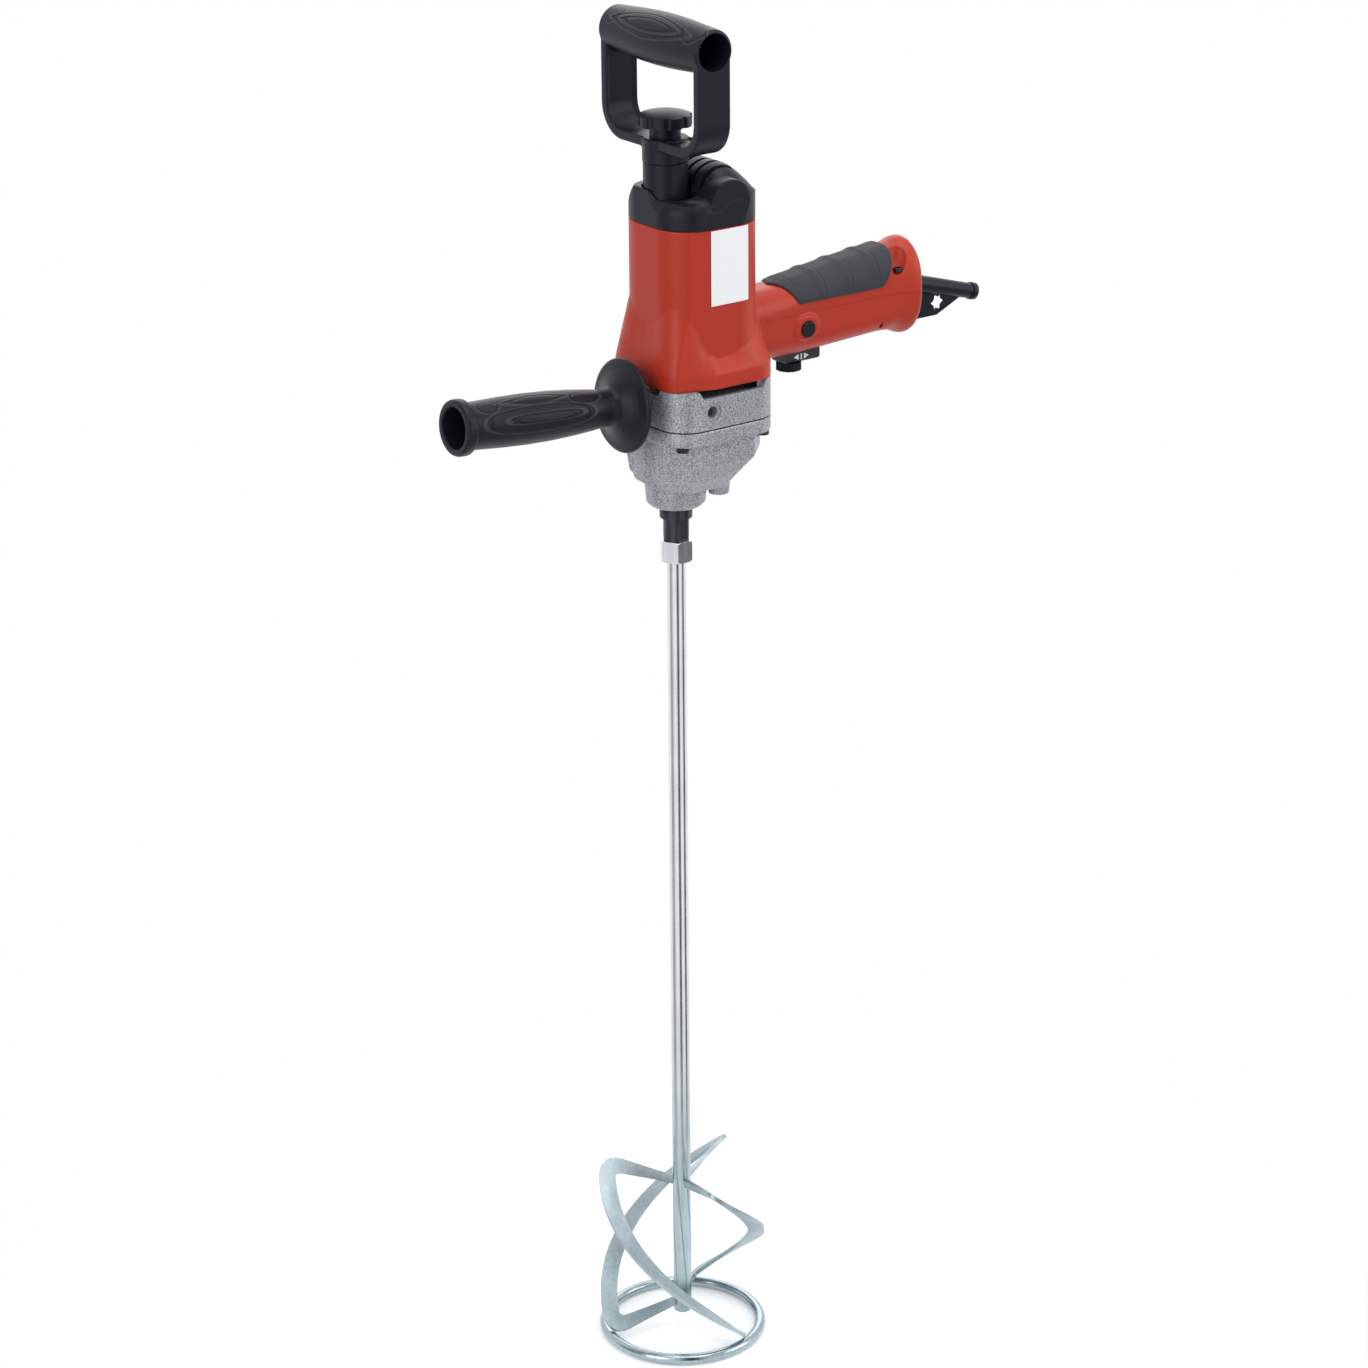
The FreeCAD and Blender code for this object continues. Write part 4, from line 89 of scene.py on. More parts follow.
class Paint:
    """A procedural material laid out in the object's own coordinates."""

    def __init__(self, name, colour, roughness, metallic=0.0, shine=0.5):
        self.material = bpy.data.materials.new(name)
        self.material.use_nodes = True
        self.tree = self.material.node_tree
        self.shader = self.tree.nodes["Principled BSDF"]
        self.set(base_color=(*colour, 1), roughness=roughness, metallic=metallic)
        self.shader.inputs["Specular IOR Level"].default_value = shine
        self.place = self.node("ShaderNodeTexCoord").outputs["Object"]
        axes = self.node("ShaderNodeSeparateXYZ", {}, self.place)
        self.x, self.y, self.z = [Value(self, socket) for socket in axes.outputs]

    def node(self, kind, settings=None, *sockets):
        made = self.tree.nodes.new(kind)
        for key, setting in (settings or {}).items():
            setattr(made, key, setting)
        for socket, given in zip(made.inputs, sockets):
            if given is not None:
                self.link(given, socket)
        return made

    def link(self, given, socket):
        given = given.socket if isinstance(given, Value) else given
        if isinstance(given, bpy.types.NodeSocket):
            self.tree.links.new(given, socket)
        else:
            socket.default_value = given

    def work_out(self, kind, *terms):
        """One math node on values, numbers or both."""
        return Value(self, self.node("ShaderNodeMath", {"operation": kind}, *terms).outputs[0])

    def noise(self, scale, detail=2.0, stretch=(1, 1, 1)):
        """Noise from 0 to 1 with features of about 1 / scale metres."""
        spot = self.node("ShaderNodeMapping", {}, self.place, None, None, stretch).outputs[0]
        made = self.node("ShaderNodeTexNoise", {}, spot, None, scale, detail)
        return Value(self, made.outputs[0])

    def blend(self, factor, first, second):
        """A colour between two others."""
        mix = self.node("ShaderNodeMix", {"data_type": "RGBA"})
        colours = [socket for socket in mix.inputs if socket.type == "RGBA"]
        self.link(factor, mix.inputs[0])
        for socket, colour in zip(colours, (first, second)):
            self.link((*colour, 1) if isinstance(colour, tuple) else colour, socket)
        return [socket for socket in mix.outputs if socket.type == "RGBA"][0]

    def set(self, **inputs):
        for name, given in inputs.items():
            self.link(given, self.shader.inputs[name.replace("_", " ").title()])

    def grain(self, height, depth, strength):
        """Bump of a height field, depth in metres."""
        bump = self.node("ShaderNodeBump", {}, strength, depth)
        self.link(height, bump.inputs["Height"])
        self.link(bump.outputs[0], self.shader.inputs["Normal"])


# Painted highlight: from 100 mm up to 320 mm the zinc colour blends into a much brighter one.
HIGHLIGHT_START = 100 * MM
HIGHLIGHT_FULL = 320 * MM
HIGHLIGHT_DARK = (0.68, 0.705, 0.735)
HIGHLIGHT_LIGHT = (0.82, 0.84, 0.86)


def zinc_paint(name, roughness, dark, light):
    """Zinc plate, bluish near the foot; higher up its colour turns much brighter, a painted highlight."""
    paint = Paint(name, light, roughness, 1.0)
    cloud = paint.noise(38, 3)
    brushed = paint.noise(420, 2, (1, 1, 0.04))
    tone = (cloud * 0.55 + brushed * 0.45).rise(0.3, 0.7)
    bright = paint.blend(tone, HIGHLIGHT_DARK, HIGHLIGHT_LIGHT)
    foot_zinc = paint.blend(tone, dark, light)
    paint.set(
        # Painted highlight: the colour turns brighter with height.
        base_color=paint.blend(paint.z.rise(HIGHLIGHT_START, HIGHLIGHT_FULL), foot_zinc, bright),
        roughness=cloud * 0.1 + brushed * 0.06 + (roughness - 0.08))
    paint.grain(brushed + cloud, 0.01 * MM, 0.3)
    return paint.material


def finish_piece(name, body, material, nodes, angle=35):
    """Turns the active object into a finished piece that stands for CAD nodes."""
    piece = bpy.context.active_object
    piece.name = piece.data.name = name
    bpy.ops.object.transform_apply(location=True, rotation=True, scale=True)
    bpy.ops.object.mode_set(mode="EDIT")
    bpy.ops.mesh.select_all(action="SELECT")
    bpy.ops.mesh.normals_make_consistent(inside=False)
    bpy.ops.object.mode_set(mode="OBJECT")
    bpy.ops.object.shade_smooth_by_angle(angle=math.radians(angle))
    even = piece.modifiers.new("even", "WEIGHTED_NORMAL")
    even.keep_sharp = True
    bpy.ops.object.modifier_apply(modifier="even")
    piece.data.materials.clear()
    piece.data.materials.append(material)
    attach(piece, body)
    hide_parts(*nodes)


ZINC = zinc_paint("zinc_bar", 0.2, (0.31, 0.38, 0.41), (0.43, 0.505, 0.54))
HOOP_R = 60.5 * MM
WIRE_R = 4.3 * MM
bpy.ops.mesh.primitive_torus_add(
    major_radius=HOOP_R, minor_radius=WIRE_R, major_segments=160, minor_segments=32, location=(0, 0, WIRE_R))
finish_piece("hoop", "output_train", ZINC, ["paddle_ring"], 60)

# Paddle rod: drawn round bar with chamfered ends, welded to the blades below and to the hexagon
# above, then zinc plated with them.
ROD_R = 7 * MM
ROD_FOOT = 14.5 * MM
ROD_TOP = 634 * MM
ROD_CHAMFER = 0.8


def break_edges(piece, width, angle, miter="MITER_SHARP"):
    """Bevels the active piece's edges that are sharper than an angle; the width is in millimetres."""
    edge = piece.modifiers.new("edge", "BEVEL")
    edge.width = width * MM
    edge.segments = 2
    edge.limit_method = "ANGLE"
    edge.angle_limit = math.radians(angle)
    edge.miter_outer = miter
    bpy.ops.object.modifier_apply(modifier="edge")


bpy.ops.mesh.primitive_cylinder_add(
    vertices=64, radius=ROD_R, depth=ROD_TOP - ROD_FOOT, location=(0, 0, (ROD_TOP + ROD_FOOT) / 2))
break_edges(bpy.context.active_object, ROD_CHAMFER, 30)
finish_piece("rod", "output_train", ZINC, ["paddle_rod"])

# Paddle blades: three flat bars cut with rounded corners and twisted into screw bands,
# each welded to the rod by its two leaning arms and to the hoop at its foot.
BLADES = 3
FIRST_BLADE = 14
SCREW_RISE = 138 * MM
SCREW_TURN = math.radians(158)
BLADE_FOOT = 6.4 * MM
BAND_MIDDLE = 57.5 * MM
BAND_HALF = 6.4 * MM
BAND_THICK = 3 * MM
BAND_EDGE = 0.4
CORNER_TURN = 11 * MM
CORNER_STEPS = 8
ARM_START = 4 * MM
ARM_INNERMOST = 2 * MM
ARM_LEAN = 15 * MM
STEEP = SCREW_RISE / SCREW_TURN
STRETCH = math.hypot(BAND_MIDDLE, STEEP)


def lay_out(columns, rows, place):
    """Adds a grid and lays each point by a rule of two shares from 0 to 1."""
    bpy.ops.mesh.primitive_grid_add(x_subdivisions=columns, y_subdivisions=rows, size=2)
    for point in bpy.context.active_object.data.vertices:
        point.co = place(point.co.x / 2 + 0.5, point.co.y / 2 + 0.5)
    return bpy.context.active_object


def thicken(sheet, thickness, offset):
    """Gives the active sheet a wall, to both sides at offset 0 and inwards at -1."""
    wall = sheet.modifiers.new("wall", "SOLIDIFY")
    wall.thickness = thickness
    wall.offset = offset
    bpy.ops.object.modifier_apply(modifier="wall")


def along_line(points, share):
    """The point and unit direction at a share of a chain of points in the plane."""
    steps = [(b - a).length for a, b in zip(points, points[1:])]
    left = share * sum(steps)
    for a, b, step in zip(points, points[1:], steps):
        if left <= step or b is points[-1]:
            return a + (b - a) * (left / step), (b - a).normalized()
        left -= step


def blade_line():
    """Middle line of the cut bar, laid flat: out along an arm, down the band and back."""
    first = [Vector((ARM_START, BAND_HALF))]
    for step in range(CORNER_STEPS + 1):
        turn = math.pi / 2 * step / CORNER_STEPS
        out = BAND_MIDDLE - CORNER_TURN * (1 - math.sin(turn))
        first.append(Vector((out, BAND_HALF + CORNER_TURN * (1 - math.cos(turn)))))
    length = SCREW_TURN * STRETCH
    return first + [Vector((spot.x, length - spot.y)) for spot in reversed(first)]


BLADE_LINE = blade_line()
ZINC_SHEET = zinc_paint("zinc_sheet", 0.42, (0.315, 0.39, 0.43), (0.43, 0.51, 0.55))


def blade_point(start):
    """The rule that winds the flat bar round the rod from an angle."""
    def place(share, across):
        spot, way = along_line(BLADE_LINE, share)
        spot = spot + Vector((way.y, -way.x)) * (across - 0.5) * 2 * BAND_HALF
        reach = max(spot.x, ARM_INNERMOST)
        turn = spot.y / STRETCH
        lean = ARM_LEAN * (2 * turn / SCREW_TURN - 1) * max(0, 1 - reach / BAND_MIDDLE)
        z = BLADE_FOOT + SCREW_RISE - STEEP * turn + lean
        return Vector((reach * math.cos(start + turn), reach * math.sin(start + turn), z))
    return place


for number in range(BLADES):
    blade = lay_out(220, 6, blade_point(math.radians(FIRST_BLADE + 360 / BLADES * number)))
    thicken(blade, BAND_THICK, 0)
    break_edges(blade, BAND_EDGE, 60)
    finish_piece(
        f"blade_{number + 1}", "output_train", ZINC_SHEET, [f"paddle_blade_{number + 1}"], 40)

# Hexagon on the rod's head and the tool spindle above it: turned steel, the hexagon screwed onto
# the spindle's thread; two flats on the spindle take a second spanner.


def soften(node, body, material, width, angle=35):
    """A piece made from a machined CAD shape, with its sharp edges broken."""
    source = frame["nodes"][node]
    piece = bpy.data.objects.new(node + "_piece", source.data.copy())
    piece.data.transform(source.matrix_world)
    bpy.context.scene.collection.objects.link(piece)
    bpy.ops.object.select_all(action="DESELECT")
    piece.select_set(True)
    bpy.context.view_layer.objects.active = piece
    bpy.ops.object.mode_set(mode="EDIT")
    bpy.ops.mesh.select_all(action="SELECT")
    bpy.ops.mesh.remove_doubles(threshold=0.002 * MM)
    bpy.ops.mesh.dissolve_limited(angle_limit=math.radians(0.5))
    bpy.ops.object.mode_set(mode="OBJECT")
    break_edges(piece, width, angle, "MITER_ARC")
    finish_piece(node + "_piece", body, material, [node], angle)


def steel_paint():
    """Turned steel under black oxide."""
    paint = Paint("turned_steel", (0.03, 0.031, 0.035), 0.3, 0.6)
    turned = paint.noise(700, 2, (0.2, 0.2, 3))
    patch = paint.noise(60, 3)
    paint.set(
        base_color=paint.blend(patch.rise(0.3, 0.7), (0.018, 0.019, 0.023), (0.05, 0.052, 0.058)),
        roughness=turned * 0.2 + 0.22)
    paint.grain(turned, 0.03 * MM, 0.5)
    return paint.material


STEEL = steel_paint()
soften("paddle_nut", "output_train", ZINC, 0.5)
soften("spindle", "output_train", STEEL, 0.5)

# Gear case: aluminium pressure casting, bead blasted and sprayed silver grey. It closes the gears
# from below, with a nose for the spindle's bearing and seal and a boss for the layshaft.


def between(table, at):
    """Values at a place in a table whose rows start with the place."""
    for first, second in zip(table, table[1:]):
        if at <= second[0] or second is table[-1]:
            share = (at - first[0]) / (second[0] - first[0])
            return [a + (b - a) * share for a, b in zip(first[1:], second[1:])]


def rounded(half_w, half_h, corner, angle):
    """Point of a rounded rectangle seen from its middle at an angle."""
    c, s = math.cos(angle), math.sin(angle)
    reach = min(half_w / max(abs(c), 0.000001), half_h / max(abs(s), 0.000001))
    flat_w, flat_h = half_w - corner, half_h - corner
    if abs(c) * reach > flat_w and abs(s) * reach > flat_h:
        near = abs(c) * flat_w + abs(s) * flat_h
        reach = near + math.sqrt(max(near * near - flat_w ** 2 - flat_h ** 2 + corner ** 2, 0))
    return c * reach, s * reach


def skin(columns, rows, place):
    """A closed skin in millimetres: a grid sewn into a tube and filled at both ends."""
    made = lay_out(columns, rows, lambda around, along: Vector(place(around, along)) * MM)
    bpy.ops.object.mode_set(mode="EDIT")
    bpy.ops.mesh.select_all(action="SELECT")
    bpy.ops.mesh.remove_doubles(threshold=0.01 * MM)
    bpy.ops.mesh.fill_holes(sides=0)
    bpy.ops.mesh.normals_make_consistent(inside=False)
    bpy.ops.object.mode_set(mode="OBJECT")
    return made


def tower(table, y=0):
    """An upright solid through rounded squares: height, half width, corner and middle of each."""
    low, high = table[0][0], table[-1][0]

    def place(around, along):
        z = low + (high - low) * along
        half, corner, middle = between(table, z)
        across, deep = rounded(half, half, corner, 2 * math.pi * around)
        return middle + across, y + deep, z
    return skin(160, 60, place)


def drum(radius, low, high, x=0, y=0):
    """An upright round bar."""
    return tower([(low, radius, radius, x), (high, radius, radius, x)], y)


def mould(parts, voxel, rounds):
    """Melts overlapping solids into one skin with soft corners."""
    bpy.ops.object.select_all(action="DESELECT")
    for part in parts:
        part.select_set(True)
    bpy.context.view_layer.objects.active = parts[0]
    bpy.ops.object.join()
    piece = bpy.context.active_object
    melt = piece.modifiers.new("melt", "REMESH")
    melt.mode = "VOXEL"
    melt.voxel_size = voxel * MM
    relax = piece.modifiers.new("relax", "SMOOTH")
    relax.factor = 0.5
    relax.iterations = rounds
    for name in ("melt", "relax"):
        bpy.ops.object.modifier_apply(modifier=name)
    return piece


def carve(piece, tool, kind="DIFFERENCE"):
    """Cuts a tool out of a piece and leaves the piece active."""
    cut = piece.modifiers.new("cut", "BOOLEAN")
    cut.operation = kind
    cut.object = tool
    bpy.ops.object.select_all(action="DESELECT")
    piece.select_set(True)
    bpy.context.view_layer.objects.active = piece
    bpy.ops.object.modifier_apply(modifier="cut")
    bpy.data.objects.remove(tool)


def cast_paint():
    """Silver spray over a blasted casting, with dark specks between the bright ones."""
    paint = Paint("silver_casting", (0.3, 0.315, 0.335), 0.42, 0.35)
    speck = paint.noise(1150, 1)
    orange = paint.noise(620, 2)
    cloud = paint.noise(26, 2)
    tone = speck * 0.75 + orange * 0.17 + cloud * 0.08
    paint.set(
        base_color=paint.blend(tone.rise(0.35, 0.65), (0.18, 0.19, 0.208), (0.535, 0.555, 0.582)),
        roughness=speck * 0.2 + 0.32)
    paint.grain(orange + speck * 0.6, 0.14 * MM, 0.6)
    return paint.material


CAST = cast_paint()
MOTOR_X = 16
CASE_CORNER = 8
CASE_CUT = 1.07
CASE_TABLE = [(692, 28, 9), (703, 36.5, 9), (716, 43.5, MOTOR_X), (733, 44, MOTOR_X)]
CASE_WALL = 4
ROOM_CORNER_SHARE = 0.82
ROOM_TOP = (745, 40, 32, MOTOR_X)
RIM_HALF = 46
RIM_CORNER = 22
SEAL_R = 15.05
BEARING_R = 17.55
SCREW_SEAT_R = 5
SCREW_SPREAD = 35.8


def case_point(around, along):
    """A square body that tapers to the floor, its corners cut off flat for the screws."""
    low, high = CASE_TABLE[0][0], CASE_TABLE[-1][0]
    z = low + (high - low) * along
    half, middle = between(CASE_TABLE, z)
    across, deep = rounded(half, half, CASE_CORNER, 2 * math.pi * around)
    over = (abs(across) + abs(deep)) * math.sqrt(0.5) / (half * CASE_CUT)
    trim = 1 / max(over, 1)
    return middle + across * trim, deep * trim, z


def case_room():
    """The hollow for the gears."""
    rows = [(z, half - CASE_WALL, half * ROOM_CORNER_SHARE - CASE_WALL, x) for z, half, x in CASE_TABLE[1:]]
    return tower(rows + [ROOM_TOP])


rim = tower([(732, RIM_HALF, RIM_CORNER, MOTOR_X), (742.5, RIM_HALF, RIM_CORNER, MOTOR_X)])
nose = tower([(676.5, 18.3, 18.3, 0), (679.5, 21.5, 21.5, 0), (692, 22.5, 22.5, 0), (698, 22.5, 22.5, 0)])
shoulder = tower([(698.5, 30.4, 30.4, 0), (733, 30.6, 30.6, 0)])
layshaft_boss = tower([(685, 7.4, 7.4, 24.5), (697, 8.4, 8.4, 24.5)], -19)
case = mould([skin(240, 60, case_point), rim, nose, shoulder, layshaft_boss], 0.67, 3)
carve(case, case_room())
carve(case, drum(SEAL_R, 670, 684))
carve(case, drum(BEARING_R, 682, 700))
for side_x in (-1, 1):
    for side_y in (-1, 1):
        carve(case, drum(SCREW_SEAT_R, 726, 732, MOTOR_X + SCREW_SPREAD * side_x, SCREW_SPREAD * side_y))
finish_piece("gear_case_piece", "drill_body", CAST, ["gear_case"], 40)

# Case screws: four socket cap screws of black oxide steel, driven from below through the case's
# corners into the gear plate.
soften("case_screws", "drill_body", STEEL, 0.3)

# Gear plate: the casting's upper half, with air windows under the motor, threaded sockets for the
# side handle and the web that carries the bearings; sprayed like the case.
soften("gear_plate", "drill_body", CAST, 0.6)

# Side handle: glass-filled nylon moulded in one shot, with a dished guard, a barrel grip with
# leaf-shaped panels and an open end; it turns on a stud screwed into the gear plate.
NYLON_BLACK = (0.0080, 0.0094, 0.0152)
# Painted highlight colour for the lips beside the grooves, and painted shade colour for the grooves.
LIP_HIGHLIGHT_COLOUR = (0.05, 0.053, 0.062)
GROOVE_SHADE = (0.003, 0.003, 0.004)
GROOVE_DEPTH = 0.9 * MM


def panel_rims(along, across, panels):
    """Masks of the grooves round oval panels and of the lips outside them, the lips for a painted highlight;
    a low power points an oval's ends.
    """
    sunk, lip_highlight = 0, 0
    for middle, side, half_l, half_w, power in panels:
        run = abs((along - middle) / half_l).math("POWER", power)
        reach = run + abs((across - side) / half_w).math("POWER", power)
        sunk = 1 - abs(reach - 1).rise(0.4 * MM / half_w, 1.4 * MM / half_w) + sunk
        lip_highlight = 1 - abs(reach - (1 + 2.4 * MM / half_w)).rise(0.3 * MM / half_w, 1.3 * MM / half_w) + lip_highlight
    return sunk.math("MINIMUM", 1), lip_highlight.math("MINIMUM", 1)


def black_paint(name, lines=None, colour=NYLON_BLACK, roughness=0.38, grain=0.10 * MM):
    """Dark moulded plastic with a spark-eroded texture and, if asked for, sunk lines with painted shade in
    them and a painted highlight on the lips beside them.
    """
    paint = Paint(name, colour, roughness, shine=0.22)
    fine = paint.noise(2200, 2)
    soft = paint.noise(55, 2)
    light = tuple(min(c * 1.6, 1) for c in colour)
    shade = paint.blend(soft * 0.4 + fine.rise(0.45, 0.8) * 0.6, colour, light)
    height = fine
    if lines:
        sunk, lip_highlight = lines(paint)
        # Painted highlight on the lips beside the grooves.
        shade = paint.blend(lip_highlight * 0.7, shade, LIP_HIGHLIGHT_COLOUR)
        # Painted shade in the grooves.
        shade = paint.blend(sunk * 0.8, shade, GROOVE_SHADE)
        height = fine - sunk * (GROOVE_DEPTH / grain)
    paint.set(base_color=shade, roughness=fine * 0.2 + (roughness - 0.1))
    paint.grain(height, grain, 0.6)
    return paint.material


BLACK = black_paint("black_nylon")
SIDE_LEAN = math.radians(4)
SIDE_ROOT = Vector((-30, 0, 757.5))
SIDE_WAY = Vector((-math.cos(SIDE_LEAN), 0, math.sin(SIDE_LEAN)))
SIDE_UP = Vector((math.sin(SIDE_LEAN), 0, math.cos(SIDE_LEAN)))
SIDE_PANEL_R = 17 * MM
SIDE_PANEL_TURN = math.radians(72)
SIDE_PANELS = [
    (96 * MM, -1 * MM, 43 * MM, 8.5 * MM, 2.6), (92 * MM, -0.5 * MM, 27 * MM, 2.8 * MM, 3),
    (137 * MM, 12.5 * MM, 8 * MM, 5 * MM, 2), (56 * MM, 11.5 * MM, 12 * MM, 5.2 * MM, 2),
    (97 * MM, 13.5 * MM, 22 * MM, 3.6 * MM, 1.4)]
SIDE_PROFILE = [Vector(spot) for spot in [
    (0.8, 4.3), (0.8, 11), (1.6, 12), (12, 12.2), (13, 14), (13, 28), (13.6, 31.5), (15, 33.6), (16.3, 34),
    (17.4, 33.4), (18.3, 31.6), (18.9, 29), (20, 25.5), (22, 21.5), (24.5, 17.6), (27, 15), (30, 13.6),
    (34, 13.4), (44, 14.6), (60, 16.2), (80, 17.5), (100, 18), (120, 17.7), (138, 17), (149.5, 16.6),
    (150, 17), (150.2, 18.4), (151, 19.6), (152.4, 20), (156.6, 20), (158.2, 19.4), (159, 18), (159, 15.5),
    (158, 14.6), (156, 14.5), (119, 14.5), (119, 4.3)]]


def side_lines(paint):
    """Leaf-shaped panels pressed into the grip's front."""
    x = paint.x - SIDE_ROOT.x * MM
    z = paint.z - SIDE_ROOT.z * MM
    far = x * -math.cos(SIDE_LEAN) + z * math.sin(SIDE_LEAN)
    up = x * math.sin(SIDE_LEAN) + z * math.cos(SIDE_LEAN)
    across = (paint.y.math("ARCTAN2", up) + SIDE_PANEL_TURN) * SIDE_PANEL_R
    return panel_rims(far, across, SIDE_PANELS)


def side_point(around, along):
    """The turned profile, from the stud's hole over the guard and grip into the open end."""
    far, reach = along_line(SIDE_PROFILE, along)[0]
    angle = 2 * math.pi * around
    ring = SIDE_UP * math.cos(angle) + Vector((0, math.sin(angle), 0))
    return SIDE_ROOT + SIDE_WAY * far + ring * reach


skin(128, 420, side_point)
finish_piece(
    "side_handle_piece", "side_grip", black_paint("side_grip_nylon", side_lines),
    ["side_handle"], 40)

# Motor housing: red glass-filled nylon, moulded as one cup with the rear handle's lower half. Its
# skirt sits on the gear plate, and the skirt's upper edge dips at the sides of the column.


def red_paint():
    """Red nylon with a fine spark-eroded texture."""
    paint = Paint("red_nylon", (0.47, 0.03, 0.011), 0.4, shine=0.34)
    fine = paint.noise(1900, 2)
    cloud = paint.noise(22, 2)
    tone = fine.rise(0.35, 0.75) * 0.5 + cloud * 0.5
    paint.set(
        base_color=paint.blend(tone, (0.43, 0.026, 0.009), (0.51, 0.036, 0.014)),
        roughness=fine * 0.16 + 0.32)
    paint.grain(fine, 0.10 * MM, 0.5)
    return paint.material


RED = red_paint()
HOUSING_LOW = 772
HOUSING_H = 114
SKIRT_LOW = 782
COLUMN_HALF = 40
COLUMN_CORNER = 28
FACET_REACH = 41.9
FACET_FLARE = 6
FACET_SIDE = 0.951
FACET_FRONT = 0.309
SKIRT_EDGE = [
    (-180, 813.5), (-167, 816), (-155, 824), (-149, 828), (-140, 829), (-127, 820), (-115, 799),
    (-102, 790.5), (-82, 791.5), (-56, 800.5), (-40, 812), (-20, 824), (0, 830), (20, 824), (40, 812),
    (56, 800.5), (82, 791.5), (102, 790.5), (115, 799), (127, 820), (140, 829), (149, 828), (155, 824),
    (167, 816), (180, 813.5)]
HOUSING_TABLE = [(0, COLUMN_HALF, COLUMN_CORNER), (1, RIM_HALF, RIM_CORNER)]
HANDLE_TABLE = [
    (34, 25, 774, 826, 17), (60, 23.6, 773.6, 825.4, 17), (84, 21.4, 772.8, 826, 16.5),
    (104, 20, 772.5, 828.4, 16), (140, 20, 774.2, 833.2, 16), (176, 20, 776, 837.2, 16),
    (182, 20.2, 775.8, 838, 16), (187, 20.7, 775.2, 838.8, 16.6), (192, 21.8, 774, 840, 18),
    (196, 23.2, 772.2, 841.4, 20), (199, 24.4, 770.9, 842.6, 22), (202, 25, 770, 843.2, 23),
    (205, 25, 770, 843.2, 23), (207, 24.3, 770.7, 842.3, 22.5), (208.6, 22.9, 772.1, 840.9, 21),
    (209.6, 21.2, 773.8, 839.2, 19.5), (210, 19.5, 775.5, 837.5, 18)]
HANDLE_ROOM = [(36, 25, 774, 826, 17), *HANDLE_TABLE[1:5], (177, 20, 776, 837.2, 16)]
HANDLE_WALL = 3
GUARD_START = 180
GUARD_RUN = 20
GUARD_OVAL = 0.75
GUARD_WIDEN = 1.02


def smooth(share):
    share = min(max(share, 0), 1)
    return share * share * (3 - 2 * share)


def housing_point(around, along):
    """The square column, widening into the skirt below its edge, with its flanks cut to facets."""
    degrees = 360 * around - 180
    z = HOUSING_LOW + HOUSING_H * along
    edge = between(SKIRT_EDGE, degrees)[0]
    flare = min(max((edge + 1 - z) / (edge - SKIRT_LOW), 0), 1)
    half, corner = between(HOUSING_TABLE, flare)
    across, deep = rounded(half, half, corner, math.radians(degrees))
    facet = (FACET_SIDE * abs(deep) - FACET_FRONT * across) / (FACET_REACH + FACET_FLARE * flare)
    trim = 1 / max(facet, 1)
    return MOTOR_X + across * trim, deep * trim, z


def handle_point(table, inset=0):
    """Rounded oblong along the grip that turns into an oval at the guard."""
    def place(around, along):
        x = table[0][0] + (table[-1][0] - table[0][0]) * along
        half_w, low, top, corner = between(table, x)
        half_h = (top - low) / 2
        angle = 2 * math.pi * around
        across, up = rounded(half_w - inset, half_h - inset, corner - inset, angle)
        oval_share = GUARD_OVAL * smooth((x - GUARD_START) / GUARD_RUN)
        reach = 1 / math.hypot(math.cos(angle) / half_w, math.sin(angle) / half_h)
        across += (reach * math.cos(angle) * GUARD_WIDEN - across) * oval_share
        up += (reach * math.sin(angle) - up) * oval_share
        return x, across, (low + top) / 2 + up
    return place


def block(x0, x1, y0, y1, z0, z1):
    """A plain box in millimetres, used to cut with."""
    bpy.ops.mesh.primitive_cube_add(size=MM, location=Vector((x0 + x1, y0 + y1, z0 + z1)) * MM / 2)
    made = bpy.context.active_object
    made.scale = (x1 - x0, y1 - y0, z1 - z0)
    bpy.ops.object.transform_apply(location=True, scale=True)
    return made


def ball(middle, size, turn):
    """An ellipsoid in millimetres, turned about Y."""
    bpy.ops.mesh.primitive_uv_sphere_add(segments=48, ring_count=24, radius=MM, location=Vector(middle) * MM)
    made = bpy.context.active_object
    made.scale = size
    made.rotation_euler = (0, math.radians(turn), 0)
    bpy.ops.object.transform_apply(location=True, rotation=True, scale=True)
    return made


def peg(middle, way, radius, length, stretch=(1, 1, 1)):
    """A round bar in millimetres along a direction, its section stretched if need be."""
    bpy.ops.mesh.primitive_cylinder_add(vertices=64, radius=radius * MM, depth=length * MM)
    made = bpy.context.active_object
    made.data.transform(Matrix.Diagonal((*stretch, 1)))
    made.data.transform(Vector(way).to_track_quat("Z", "Y").to_matrix().to_4x4())
    made.data.transform(Matrix.Translation(Vector(middle) * MM))
    return made


SEAM_FRONT = 64
SEAM_LOW = 805.95
SEAM_HIGH = 806.1
BUTTON_X = 103
button_collar = peg((BUTTON_X, -15, 795), (0, -1, 0), 9.2, 15, (1.25, 1, 1))
rear_handle = skin(140, 200, handle_point(HANDLE_TABLE))
body = mould([skin(300, 160, housing_point), rear_handle, button_collar], 0.95, 3)
motor_room = tower([
    (760, 42, 20, MOTOR_X), (784, 40, 24, MOTOR_X), (796, 36.8, 26, MOTOR_X), (882, 36.8, 26, MOTOR_X)])
carve(body, motor_room)
carve(body, skin(100, 100, handle_point(HANDLE_ROOM, HANDLE_WALL)))
trigger_slot = block(92.6, 125.4, -8.4, 8.4, 760, 790)
carve(body, trigger_slot)
clamp_screw_hole = peg((175, -19, 784), (0, -1, 0.5), 1.9, 10)
carve(body, clamp_screw_hole)
button_bore = peg((BUTTON_X, -19.5, 794), (0, -1, 0), 6.3, 12)
carve(body, button_bore)
for side in (-1, 1):
    screw_scoop = ball((191.5, 21.5 * side, 842), (9.2, 13, 23), 14)
    carve(body, screw_scoop)
cover = body.copy()
